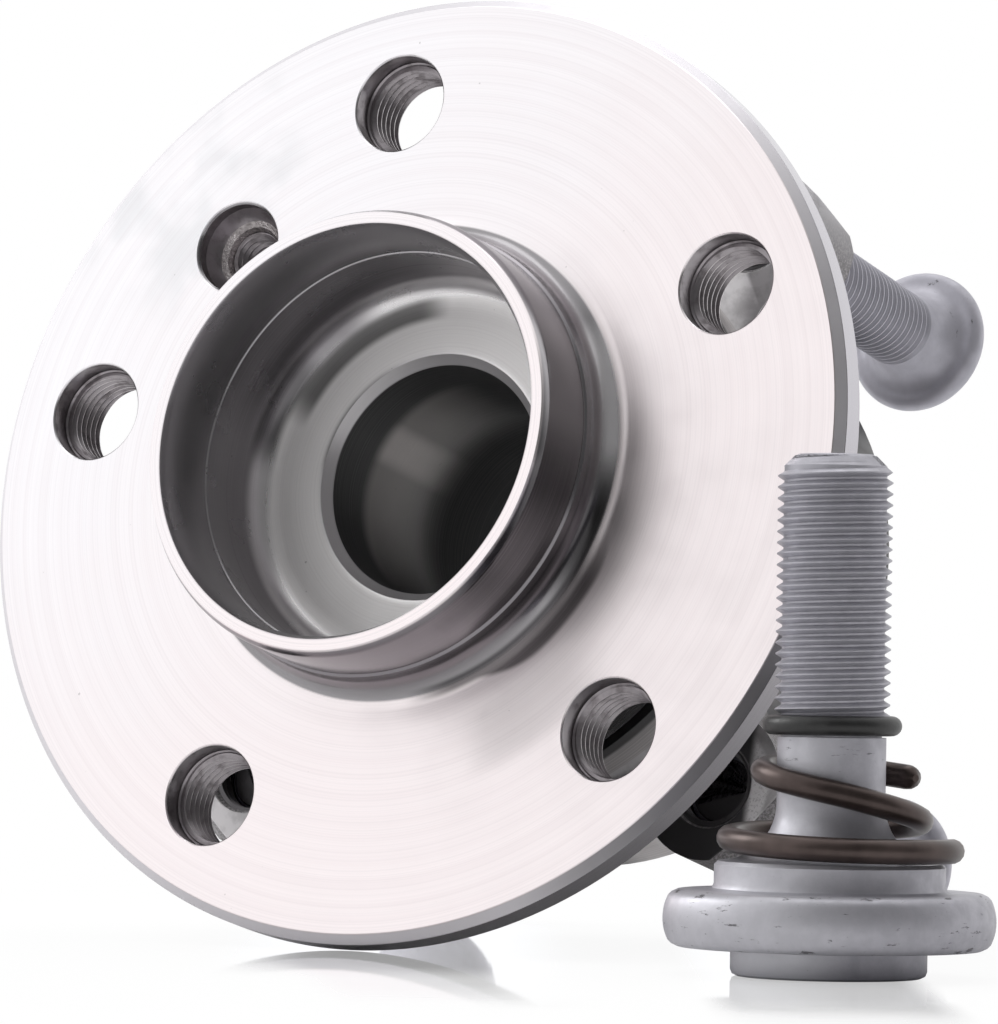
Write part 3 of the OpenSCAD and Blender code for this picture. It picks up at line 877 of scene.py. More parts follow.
@dataclass(frozen=True)
class CoatedSteel:
    """Matt blue-grey zinc coating of the bolts, scuffed dark where it is handled.

    The scuffs lie between two heights beyond a radius, and over the rubbed heights. At the tip the
    coating is painted dark as shade, and up to lit_high on the side that faces the light it is
    painted lighter as a highlight.
    """

    name: str
    place: Place
    scuff_low: float
    scuff_high: float
    scuff_r: float
    metal: float = 0.35
    rubbed: Point = (0.0, 0.0)
    tip: float = NOWHERE
    lit_high: float = -1.0
    colour: Colour = (0.388, 0.382, 0.42)
    pale: Colour = (0.475, 0.468, 0.51)
    # Lighter colour of the painted highlight.
    highlit: Colour = (0.68, 0.68, 0.71)
    # Dark of the scuffs, also used for the painted shade at the tip.
    scuff_and_shade: Colour = (0.06, 0.056, 0.06)

    def build(self) -> bpy.types.Material:
        """Draws the finish.

        Returns:
            The material.
        """
        g = MaterialGraph(self.name)
        at = AxlePoint.read(g, self.place)
        mottle = g.noise(g.point(), 420.0, 4.0, 0.6).span(0.3, 0.75)
        fine = g.noise(g.point(), 2300.0, 3.0, 0.6)
        colour = g.blend(mottle * 0.6, self.colour, self.pale)
        # Painted highlight: the side that faces the light is painted lighter up to lit_high, most
        # on the axle bolt's foot.
        lit = at.fan(-99.0, 0.60, 0.99) * at.depth.within(-1.0, self.lit_high, 1.0)
        share = at.depth.span(4.0, 3.6) * 0.5 + 0.28
        colour = g.blend(lit * share, colour, self.highlit)
        rub = g.noise(g.vector(at.up * 0.6, at.side * 0.6, at.depth * 3.0), 0.42, 5.0, 0.7)
        edge = at.depth.within(self.scuff_low - 0.2, self.scuff_low + 1.2, 0.4)
        edge = edge.most(at.depth.within(self.scuff_high - 1.2, self.scuff_high + 0.2, 0.4))
        rub = (rub + edge * 0.05).span(0.625, 0.68)
        zone = at.rho.span(self.scuff_r - 0.8, self.scuff_r) * at.depth.within(
            self.scuff_low, self.scuff_high, 0.6)
        zone = zone.most(at.depth.within(*self.rubbed, 0.8) * 0.7)
        dust = g.noise(g.point(), 1300.0, 2.0).span(0.74, 0.81)
        colour = g.blend((rub * zone * 0.8).most(dust * 0.35), colour, self.scuff_and_shade)
        # Painted shade: at the tip, inside the ear's hole, the coating is painted dark.
        colour = g.blend(at.depth.span(self.tip - 0.3, self.tip - 0.1), colour, self.scuff_and_shade)
        return g.surface({
            "Base Color": colour, "Metallic": self.metal,
            "Roughness": mottle.span(0.0, 1.0, 0.50, 0.42),
            "Normal": g.bump(fine * 0.6 + mottle * 0.4, 2.5e-5)})


@dataclass(frozen=True)
class SpringWire:
    """Dark brown oil tempered wire, half gloss."""

    colour: Colour = (0.050, 0.036, 0.033)
    wear_and_highlight: Colour = (0.105, 0.079, 0.073)

    def build(self) -> bpy.types.Material:
        """Draws the finish.

        Returns:
            The material.
        """
        g = MaterialGraph("spring_wire")
        patch = g.noise(g.point(), 160.0, 3.0, 0.5).span(0.3, 0.8)
        fine = g.noise(g.point(), 2400.0, 2.0)
        return g.surface({
            "Base Color": g.blend(patch, self.colour, self.wear_and_highlight), "Metallic": 0.7,
            "Roughness": patch.span(0.0, 1.0, 0.32, 0.42),
            "Normal": g.bump(fine, 6.0e-6)})


@dataclass(frozen=True)
class Rubber:
    """Black rubber of the seals and the O-ring."""

    name: str
    colour: Colour = (0.018, 0.018, 0.019)

    def build(self) -> bpy.types.Material:
        """Draws the finish.

        Returns:
            The material.
        """
        g = MaterialGraph(self.name)
        bloom = g.noise(g.point(), 300.0, 4.0, 0.6).span(0.45, 0.75)
        fine = g.noise(g.point(), 2200.0, 3.0)
        return g.surface({
            "Base Color": g.blend(bloom * 0.5, self.colour, (0.05, 0.05, 0.05)),
            "Roughness": bloom.span(0.0, 1.0, 0.42, 0.62), "Normal": g.bump(fine, 2.0e-5)})


@dataclass(frozen=True)
class PlainSteel:
    """Ground or pressed steel of the inner pieces, with rings from the wheel or the tool."""

    name: str
    place: Place
    colour: Colour
    rough: float

    def build(self) -> bpy.types.Material:
        """Draws the finish.

        Returns:
            The material.
        """
        g = MaterialGraph(self.name)
        at = AxlePoint.read(g, self.place)
        marks = g.rings(at.rho + at.depth * 0.91, 4.0, 3.0)
        stain_and_shade = g.noise(g.point(), 90.0, 3.0).span(0.4, 0.75)
        dark = tuple(0.72 * c for c in self.colour)
        return g.surface({
            "Base Color": g.blend(stain_and_shade * 0.6 + marks * 0.15, self.colour, dark),
            "Metallic": 1.0, "Roughness": stain_and_shade.span(0.0, 1.0, self.rough, self.rough + 0.1),
            "Normal": g.bump(marks, 3.0e-6)})


@dataclass(frozen=True)
class CagePolyamide:
    """Brown moulded polyamide of the cages."""

    colour: Colour = (0.26, 0.19, 0.11)

    def build(self) -> bpy.types.Material:
        """Draws the finish.

        Returns:
            The material.
        """
        g = MaterialGraph("cage_polyamide")
        flow = g.noise(g.point().scaled((1.0, 1.0, 3.0)), 160.0, 4.0, 0.6)
        grain = g.noise(g.point(), 1800.0, 3.0)
        return g.surface({
            "Base Color": g.blend(flow.span(0.35, 0.7), self.colour, (0.34, 0.26, 0.15)),
            "Roughness": flow.span(0.3, 0.7, 0.38, 0.5), "Normal": g.bump(grain, 2.0e-5)})


@dataclass
class HubFlange:
    """Flange, pilot collar, spindle and face spline of the hub, with its tapped holes."""

    place: Place
    flange_r: float = 71.2
    flange_t: float = 11.0
    rim_w: float = 5.4
    rim_chamfer: float = 1.4
    back_bevel: float = 6.7
    wheel_r: float = 56.0
    wheel_holes: int = 5
    wheel_turn: float = 9.8
    thread_r: float = 7.0
    thread_crest_r: float = 6.3
    thread_pitch: float = 1.25
    lead_in_r: float = 7.425
    lead_in_h: float = 3.2
    screw_reach: float = 48.0
    screw_seat_r: float = 6.8
    screw_seat_h: float = 2.6
    screw_r: float = 4.0
    screw_crest_r: float = 3.4
    screw_thread_z: float = -5.6
    torn_r: float = 5.4
    pilot_r: float = 33.25
    collar_h: float = 17.1
    collar_wall: float = 3.05
    root_h: float = 5.9
    root_step: float = 0.35
    root_fillet: float = 3.8
    recess: float = 8.1
    recess_fillet: float = 4.5
    bore_r: float = 17.4
    bore_chamfer: float = 1.3
    pitch_r: float = 33.5
    groove_r: float = 6.47
    row_z: float = -38.0
    inner_high_r: float = 31.602
    inner_low_r: float = 27.63
    seal_land_r: float = 33.602
    seal_land_z: float = -29.4
    shoulder_z: float = -29.9
    neck_r: float = 44.0
    neck_z: float = -24.0
    neck_fillet: float = 5.0
    seat_r: float = 21.5
    inner_front: float = -48.5
    inner_back: float = -72.0
    back: float = -76.0
    rolled_r: float = 27.0
    teeth: int = 45
    tooth_depth: float = 2.0
    gap_share: float = 0.36
    gap_depth: float = 3.0

    def section(self) -> list[Point]:
        """Gives the hub's half section, from the bore's inboard end round to the spindle.

        Returns:
            Radius and height of each point.
        """
        inner = self.pilot_r - self.collar_wall
        back = -self.flange_t
        centre_r = inner - 0.2 - self.recess_fillet
        root_r = self.pilot_r + self.root_step
        shoulder = math.sqrt(self.groove_r ** 2 - (self.pitch_r - self.inner_high_r) ** 2)
        low = math.sqrt(self.groove_r ** 2 - (self.pitch_r - self.inner_low_r) ** 2)
        begin = math.degrees(math.atan2(shoulder, self.inner_high_r - self.pitch_r))
        end = 360.0 + math.degrees(math.atan2(-low, self.inner_low_r - self.pitch_r))
        return [
            (self.bore_r, self.back + 1.0), (self.bore_r, -self.recess - self.bore_chamfer),
            (self.bore_r + self.bore_chamfer, -self.recess),
            (centre_r - 0.4, -self.recess),
            *arc((centre_r, -self.recess + self.recess_fillet), self.recess_fillet, -90, 0, 12),
            (inner - 0.2, -self.recess + self.recess_fillet + 0.4),
            (inner - 0.2, self.root_h - 0.35), (inner, self.root_h - 0.2),
            (inner, self.collar_h - 1.3), (inner + 0.68, self.collar_h),
            (self.pilot_r - 0.7, self.collar_h), (self.pilot_r - 0.1, self.collar_h - 1.1),
            (self.pilot_r, self.collar_h - 1.6), (self.pilot_r, self.root_h),
            (root_r, self.root_h - self.root_step), (root_r, self.root_fillet + 0.3),
            *arc((root_r + self.root_fillet, self.root_fillet), self.root_fillet, 180, 270, 20),
            (root_r + self.root_fillet + 0.5, 0.0), (self.flange_r - self.rim_chamfer - 0.4, 0.0),
            (self.flange_r - self.rim_chamfer, 0.0), (self.flange_r, -self.rim_chamfer),
            (self.flange_r, -self.rim_w + 0.25), (self.flange_r - 0.25, -self.rim_w),
            (self.flange_r - self.back_bevel, back), (self.flange_r - self.back_bevel - 0.4, back),
            (self.neck_r + self.neck_fillet + 0.4, back),
            *arc((self.neck_r + self.neck_fillet, back - self.neck_fillet), self.neck_fillet,
                 90, 180, 8),
            (self.neck_r, back - self.neck_fillet - 0.4), (self.neck_r, self.neck_z + 0.5),
            (self.neck_r - 0.5, self.neck_z), (self.seal_land_r + 2.0, self.neck_z),
            *arc((self.seal_land_r + 1.5, self.neck_z - 1.5), 1.5, 90, 180, 4),
            (self.seal_land_r, self.seal_land_z), (self.inner_high_r, self.shoulder_z),
            *arc((self.pitch_r, self.row_z), self.groove_r, begin, end, 14),
            (self.inner_low_r, self.inner_front), (self.seat_r, self.inner_front),
            (self.seat_r, self.inner_back), (self.rolled_r - 0.6, self.inner_back),
            (self.rolled_r, self.inner_back - 0.6),
            *arc((self.rolled_r - 2.4, self.back + 2.4), 2.4, 0, -90, 6),
            (self.bore_r + 1.0, self.back)]

    def wheel_turns(self) -> list[float]:
        """Turns of the wheel bolt holes about the axis, in degrees."""
        step = 360.0 / self.wheel_holes
        return [self.wheel_turn + step * k for k in range(self.wheel_holes)]

    def screw_turn(self) -> float:
        """Turn of the disc screw hole, halfway between two wheel bolt holes."""
        return self.wheel_turn + 180.0 / self.wheel_holes

    def cutter(self) -> bpy.types.Object:
        """Makes the shells of the wheel bolt holes, the disc screw hole and the spline.

        Returns:
            The shells, as one object.
        """
        shop = Shop()
        for turn in self.wheel_turns():
            hole = Shop().turn([
                (0, -self.flange_t - 1), (self.thread_r, -self.flange_t - 1),
                (self.thread_r, -self.lead_in_h - 0.35), (self.lead_in_r, -self.lead_in_h),
                (self.lead_in_r, -0.22), (self.lead_in_r + 0.22, 0.0),
                (self.lead_in_r + 0.22, 1.0), (0, 1.0)], 72)
            shop.absorb(hole.bm, off_axis(turn, self.wheel_r))
        self.cut_screw_hole(shop)
        self.cut_spline(shop)
        return shop.make("hub_cutter", self.place.matrix)

    def cut_screw_hole(self, shop: Shop) -> None:
        """Adds the shell of the disc screw hole with its conical seat and torn step.

        Args:
            shop: The shells so far.
        """
        cone = self.screw_seat_r - self.screw_r
        screw = Shop().turn([
            (0, -self.flange_t - 8), (self.screw_r, -self.flange_t - 8),
            (self.screw_r, -self.screw_seat_h - cone - 0.6),
            (self.screw_r + 0.2, -self.screw_seat_h - cone + 0.1),
            (self.screw_r + 0.55, -self.screw_seat_h - cone + 0.7),
            (self.torn_r, -self.screw_seat_h - cone + 1.2),
            (self.screw_seat_r - 0.6, -self.screw_seat_h - 0.5),
            (self.screw_seat_r, -self.screw_seat_h + 0.5), (self.screw_seat_r, -0.4),
            (self.screw_seat_r + 0.4, 0.0), (self.screw_seat_r + 0.4, 1.0), (0, 1.0)], 72)
        shop.absorb(screw.bm, off_axis(self.screw_turn(), self.screw_reach))

    def cut_spline(self, shop: Shop) -> None:
        """Adds the shells of the vee gaps of the face spline.

        Args:
            shop: The shells so far.
        """
        rise = math.atan(self.tooth_depth / self.rolled_r)
        half = self.gap_share * FULL_TURN / self.teeth * self.rolled_r / 2.0
        deep = self.gap_depth
        spread = half * deep / self.tooth_depth
        upright = Matrix(((0, 0, 1, 0), (1, 0, 0, 0), (0, 1, 0, 0), (0, 0, 0, 1)))
        start = Matrix.Translation((self.bore_r - 3.0, 0, 0))
        lift = Matrix.Translation((0, 0, self.back)) @ Matrix.Rotation(-rise, 4, "Y")
        for k in range(self.teeth):
            gap = Shop().prism([(0, 0), (spread, -deep), (-spread, -deep)], 0.0,
                               self.rolled_r - self.bore_r + 5.0)
            spin = Matrix.Rotation(FULL_TURN * k / self.teeth, 4, "Z")
            shop.absorb(gap.bm, spin @ lift @ start @ upright)

    def line_holes(self, hub: bpy.types.Object) -> None:
        """Gives the walls of the tapped holes their own finishes.

        Args:
            hub: The drilled hub, with its three materials.
        """
        back = self.place.matrix.inverted()
        holes = [(turn, self.wheel_r, self.lead_in_r + 0.05) for turn in self.wheel_turns()]
        holes.append((self.screw_turn(), self.screw_reach, self.screw_seat_r + 0.05))
        centres = [(r * math.cos(math.radians(a)), r * math.sin(math.radians(a)), wide)
                   for a, r, wide in holes]
        for face in hub.data.polygons:
            at = back @ face.center
            for k, (x, y, wide) in enumerate(centres):
                reach = math.hypot(at.x - x, at.y - y)
                if reach < wide and -self.flange_t - 4.0 < at.z < -0.05:
                    torn = k == self.wheel_holes and self.screw_r + 0.02 < reach < self.torn_r
                    face.material_index = (HubSlot.TORN if torn else HubSlot.CUT).value
            if face.area > 2.0 * MM * MM and abs(face.normal.dot(self.place.axis)) > 0.99995:
                face.use_smooth = False

    def paint_crest_highlights(self, thread: bpy.types.Object, place: Matrix, crest: float) -> None:
        """Paints highlights on the crests of a tapped thread, against darker walls.

        Args:
            thread: The ridge, with a wall finish and a crest finish.
            place: Where its own axis stands.
            crest: Radius of the crests.
        """
        back = place.inverted()
        for face in thread.data.polygons:
            at = back @ face.center
            flank = abs(face.normal.dot(self.place.axis)) > 0.3
            face.material_index = int(math.hypot(at.x, at.y) < crest + 0.06 and not flank)

    def build(self) -> list[bpy.types.Object]:
        """Makes the hub and its threads.

        Returns:
            The pieces.
        """
        hub = Shop().turn(self.section(), 240, True).make("hub_forging", self.place.matrix)
        drill(hub, self.cutter(), 28.0)
        steel = TurnedSteel(self.place, self.pilot_r - self.collar_wall, self.flange_r,
                            -self.flange_t).build()
        cut = CutSteel("cut_thread_steel").build()
        torn = CutSteel("torn_steel", (0.62, 0.58, 0.58), (0.14, 0.12, 0.12), 2.2e-4, 0.26).build()
        # Painted highlight: the crest finish is lighter than the wall finish.
        wear_and_highlight = CutSteel("worn_crest_steel", (0.60, 0.57, 0.58), (0.30, 0.27, 0.28)).build()
        finishes = {HubSlot.TURNED: steel, HubSlot.CUT: cut, HubSlot.TORN: torn}
        for slot in HubSlot:
            hub.data.materials.append(finishes[slot])
        self.line_holes(hub)
        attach(hub, "hub")
        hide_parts("hub_flange")
        pieces = [hub]
        for k, turn in enumerate(self.wheel_turns()):
            shop = Shop().thread(self.thread_r + 0.03, self.thread_crest_r, self.thread_pitch,
                                 -self.flange_t + 0.2, -self.lead_in_h - 0.1, steps=64)
            place = self.place.turned(turn, self.wheel_r)
            thread = shop.make(f"wheel_bolt_thread_{k + 1}", place)
            thread.data.materials.append(cut)
            thread.data.materials.append(wear_and_highlight)
            self.paint_crest_highlights(thread, place, self.thread_crest_r)
            pieces.append(thread)
        shop = Shop().thread(self.screw_r + 0.03, self.screw_crest_r, self.thread_pitch,
                             -self.flange_t + 0.2, self.screw_thread_z, steps=48)
        place = self.place.turned(self.screw_turn(), self.screw_reach)
        thread = shop.make("disc_screw_thread", place)
        thread.data.materials.append(cut)
        pieces.append(thread)
        for piece in pieces[1:]:
            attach(piece, "hub")
        return pieces


@dataclass
class OuterRing:
    """Forged outer ring with its four threaded ears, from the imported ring's mesh."""

    place: Place
    packed: bpy.types.Object
    ring_r: float = 45.0
    ring_front: float = -26.0
    ear_front: float = -32.0
    bolt_tip: float = -35.8
    knuckle_r: float = 56.3
    hole_r: float = 6.0
    pitch: float = 1.5

    def build(self) -> list[bpy.types.Object]:
        """Makes the smooth ring and the threads of its ears.

        Returns:
            The pieces.
        """
        bm = bmesh.new()
        bm.from_mesh(self.packed.data)
        bmesh.ops.remove_doubles(bm, verts=bm.verts, dist=2e-6)
        mesh = bpy.data.meshes.new("forged_outer_ring")
        bm.to_mesh(mesh)
        bm.free()
        ring = add_object("forged_outer_ring", mesh)
        soften(ring, 24.0)
        ring.data.materials.append(
            ForgedSteel(self.place, self.ring_r, self.ring_front, self.ear_front).build())
        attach(ring, "carrier")
        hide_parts("outer_ring")
        pieces = [ring]
        # Painted shade: the ear threads are near black for the shade inside the holes.
        cut = CutSteel("ear_thread_steel", (0.12, 0.115, 0.12), (0.06, 0.055, 0.055)).build()
        for k, ear in enumerate(Ear):
            shop = Shop().thread(self.hole_r + 0.03, self.hole_r - 0.75, self.pitch,
                                 self.bolt_tip + 0.2, self.ear_front - 0.7, steps=48)
            place = self.place.turned(ear.value, self.knuckle_r)
            thread = shop.make(f"ear_thread_{k + 1}", place)
            thread.data.materials.append(cut)
            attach(thread, "carrier")
            pieces.append(thread)
        return pieces


@dataclass
class KnuckleBolt:
    """One knuckle bolt: thread, flared neck, rounded flange and six-lobed drive."""

    place: Place
    ear: Ear
    reach: float = 56.3
    crest_r: float = 5.93
    core_r: float = 5.12
    pitch: float = 1.5
    flange_z: float = -89.5
    neck: float = 7.7
    thread_l: float = 46.0
    flange_r: float = 11.2
    flange_t: float = 3.6
    drive_r: float = 6.5
    drive_h: float = 6.0
    lobes: int = 6
    lobe_depth: float = 1.612

    def drive(self) -> list[Point]:
        """Gives the outline of the six-lobed drive.

        Returns:
            X and Y of each corner.
        """
        outline = []
        for a in (FULL_TURN * k / 72 for k in range(72)):
            r = self.drive_r - self.lobe_depth * (1 - math.cos(self.lobes * a)) / 2
            outline.append((r * math.cos(a), r * math.sin(a)))
        return outline

    def build(self, steel: bpy.types.Material) -> bpy.types.Object:
        """Makes the bolt.

        Args:
            steel: Its finish.

        Returns:
            The piece.
        """
        node = self.ear.bolt
        end = self.flange_z + self.neck
        tip = end + self.thread_l
        half = self.flange_t / 2.0
        flare = self.neck - half
        wide = self.flange_r - half - self.crest_r
        shop = Shop().turn([
            (0, tip), (self.core_r - 0.5, tip), (self.core_r, tip - 0.5), (self.core_r, end + 0.8),
            (self.crest_r, end - 0.05),
            *[(self.crest_r + wide * (1 - math.cos(math.radians(k * 9))),
               end - 0.1 - (flare - 0.1) * math.sin(math.radians(k * 9))) for k in range(11)],
            *arc((self.flange_r - half, self.flange_z), half, 90, -90, 14),
            (self.drive_r - 0.4, self.flange_z - half), (0, self.flange_z - half)], 96)
        shop.thread(self.core_r - 0.05, self.crest_r, self.pitch, end + 0.3, tip,
                    (tip - 1.4, self.crest_r), 48)
        drive = Shop().prism(self.drive(), self.flange_z - half - self.drive_h,
                             self.flange_z - half + 0.2)
        shop.absorb(drive.bm)
        place = self.place.turned(self.ear.value, self.reach)
        piece = shop.make(node + "_threaded", place, 30.0)
        piece.data.materials.append(steel)
        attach(piece, "knuckle_" + node)
        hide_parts(node)
        return piece


@dataclass
class AxleBolt:
    """The loose axle bolt with its O-ring and retaining spring.

    Heights start at the foot. The coil gives the turn, the distance from the bolt's axis
    and the height of places on the middle of the spring's wire, from its upper end down.
    """

    place: Place
    thread_r: float = 7.8
    core_r: float = 6.95
    pitch: float = 1.5
    length: float = 70.5
    thread_l: float = 35.0
    shank_r: float = 7.35
    collar_r: float = 15.65
    collar_h: float = 3.95
    flange_r: float = 22.5
    flange_t: float = 7.6
    bulge: float = 0.7
    foot_r: float = 13.3
    foot_h: float = 3.9
    socket_r: float = 17.0 / math.sqrt(3.0)
    socket_h: float = 9.0
    fillet: float = 7.8
    ring_z: float = 33.9
    ring_t: float = 2.7
    groove_w: float = 3.2
    groove_d: float = 0.6
    wire_d: float = 3.4
    wire_end: tuple[float, ...] = (0.30, 0.80, 0.96, 1.0)
    chords: int = 240
    coil: tuple[Triple, ...] = (
        (50, 12.4, 26.83), (120, 9.8, 28.0), (210, 9.25, 27.6), (300, 9.6, 25.0),
        (390, 12.2, 21.2), (480, 13.0, 19.44), (570, 13.7, 18.54), (660, 15.0, 17.54),
        (750, 16.6, 17.2))

    def bolt(self, steel: bpy.types.Material) -> bpy.types.Object:
        """Makes the bolt.

        Args:
            steel: Its finish.

        Returns:
            The piece.
        """
        top = self.foot_h + self.flange_t
        shank_z = top + self.collar_h
        bulge, half = self.bulge, self.flange_t / 2 - 0.8
        barrel = (half * half + bulge * bulge) / (2 * bulge)
        swing = math.degrees(math.asin(half / barrel))
        thread_z = self.length - self.thread_l
        floor_r = self.shank_r - self.groove_d
        shop = Shop().turn([
            (0, 0), (self.foot_r - 0.9, 0), (self.foot_r - 0.25, 0.3), (self.foot_r, 0.9),
            (self.foot_r, self.foot_h - 0.4), (self.foot_r + 0.4, self.foot_h),
            (self.flange_r - bulge - 1.2, self.foot_h),
            (self.flange_r - bulge - 0.45, self.foot_h + 0.35),
            *arc((self.flange_r - barrel, self.foot_h + self.flange_t / 2), barrel,
                 -swing, swing, 12),
            (self.flange_r - bulge - 0.45, top - 0.35), (self.flange_r - bulge - 1.2, top),
            (self.collar_r + 0.9, top), (self.collar_r + 0.25, top + 0.3),
            (self.collar_r, top + 0.9), (self.collar_r, shank_z - 0.5),
            (self.collar_r - 0.5, shank_z),
            *arc((self.shank_r + self.fillet, shank_z + self.fillet), self.fillet, 270, 180, 14),
            (self.shank_r, shank_z + self.fillet + 0.5),
            (self.shank_r, self.ring_z - self.groove_w / 2),
            (floor_r, self.ring_z - self.groove_w / 2), (floor_r, thread_z - 1.0),
            (self.core_r, thread_z - 0.6), (self.core_r, self.length - 1.6),
            (self.core_r - 1.4, self.length - 0.3), (self.core_r - 1.9, self.length),
            (0, self.length)], 144)
        shop.thread(self.core_r - 0.05, self.thread_r, self.pitch, thread_z - 0.4,
                    self.length - 0.2, (self.length - 2.45, self.thread_r), 72)
        piece = shop.make("axle_bolt_threaded", self.place.matrix, 30.0)
        hexagon = [(self.socket_r * math.cos(math.radians(60 * k)),
                    self.socket_r * math.sin(math.radians(60 * k))) for k in range(6)]
        socket = Shop().prism(hexagon, -1.0, self.socket_h).make("socket", self.place.matrix)
        drill(piece, socket, 30.0)
        piece.data.materials.append(steel)
        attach(piece, "loose_axle_bolt")
        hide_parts("axle_bolt")
        return piece

    def o_ring(self, rubber: bpy.types.Material) -> bpy.types.Object:
        """Makes the O-ring.

        Args:
            rubber: Its finish.

        Returns:
            The piece.
        """
        centre = (self.shank_r - self.groove_d + self.ring_t / 2, self.ring_z)
        section = arc(centre, self.ring_t / 2, 0, 345, 23)
        piece = Shop().turn(section, 96, True).make("bolt_o_ring_cord", self.place.matrix, 60.0)
        piece.data.materials.append(rubber)
        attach(piece, "loose_axle_bolt")
        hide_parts("bolt_o_ring")
        return piece

    def spring(self, wire: bpy.types.Material) -> bpy.types.Object:
        """Makes the retaining spring as a wire along its own curve.

        Args:
            wire: Its finish.

        Returns:
            The piece.
        """
        curve = bpy.data.curves.new("spring_curve", "CURVE")
        curve.dimensions = "3D"
        curve.bevel_depth = self.wire_d / 2
        curve.bevel_resolution = 5
        curve.use_fill_caps = True
        spline = curve.splines.new("POLY")
        spline.points.add(self.chords)
        first, last = self.coil[0][0], self.coil[-1][0]
        for j in range(self.chords + 1):
            angle = first + (last - first) * j / self.chords
            reach, height = blended(self.coil, angle, 1), blended(self.coil, angle, 2)
            a = math.radians(angle)
            spline.points[j].co = (reach * math.cos(a), reach * math.sin(a), height, 1.0)
            spline.points[j].radius = self.wire_end[min(j, self.chords - j, 3)]
        holder = add_object("spring_holder", curve)
        bpy.context.view_layer.update()
        mesh = bpy.data.meshes.new_from_object(
            holder.evaluated_get(bpy.context.evaluated_depsgraph_get()))
        bpy.data.objects.remove(holder)
        mesh.transform(self.place.matrix)
        mesh.materials.clear()
        piece = add_object("retaining_spring", mesh)
        soften(piece, 50.0)
        piece.data.materials.append(wire)
        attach(piece, "retaining_spring")
        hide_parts("bolt_spring")
        return piece


def blended(keys: Sequence[Triple], angle: float, column: int) -> float:
    """Reads a smooth curve through a few key places.

    Args:
        keys: Angle and values of each key place, in rising order of angle.
        angle: Where to read it.
        column: Which value.

    Returns:
        The value there, by a Catmull-Rom curve.
    """
    last = len(keys) - 2
    k = max(i for i in range(last + 1) if keys[i][0] <= angle + 1e-6)
    p1, p2 = keys[k], keys[k + 1]
    p0, p3 = keys[max(k - 1, 0)], keys[min(k + 2, last + 1)]
    span = p2[0] - p1[0]
    t = (angle - p1[0]) / span
    slope1 = (p2[column] - p0[column]) / max(p2[0] - p0[0], 1.0) * span
    slope2 = (p3[column] - p1[column]) / max(p3[0] - p1[0], 1.0) * span
    return ((2 * t ** 3 - 3 * t ** 2 + 1) * p1[column] + (t ** 3 - 2 * t ** 2 + t) * slope1
            + (3 * t ** 2 - 2 * t ** 3) * p2[column] + (t ** 3 - t ** 2) * slope2)


@dataclass
class RunningGear:
    """Rows of balls, cages, loose inner ring, seals and encoder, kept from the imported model."""

    place: Place
    nodes: dict[str, bpy.types.Object]

    def dress(self) -> list[bpy.types.Object]:
        """Gives each kept node its finish.

        Returns:
            The nodes.
        """
        finishes = {
            "inner_ring": PlainSteel("ground_steel", self.place, (0.58, 0.57, 0.58), 0.22),
            "slinger": PlainSteel("pressed_steel", self.place, (0.34, 0.34, 0.35), 0.32),
            "encoder_ring": Rubber("encoder_rubber", (0.03, 0.026, 0.024)),
            "seal": Rubber("seal_rubber"),
            "cage": CagePolyamide(),
            "ball": PlainSteel("ball_steel", self.place, (0.74, 0.74, 0.75), 0.08)}
        made = {key: finish.build() for key, finish in finishes.items()}
        dressed = []
        for name, node in self.nodes.items():
            key = next((k for k in made if k in name), None)
            if key is None:
                continue
            for slot in node.material_slots:
                slot.material = made[key]
            dressed.append(node)
        return dressed


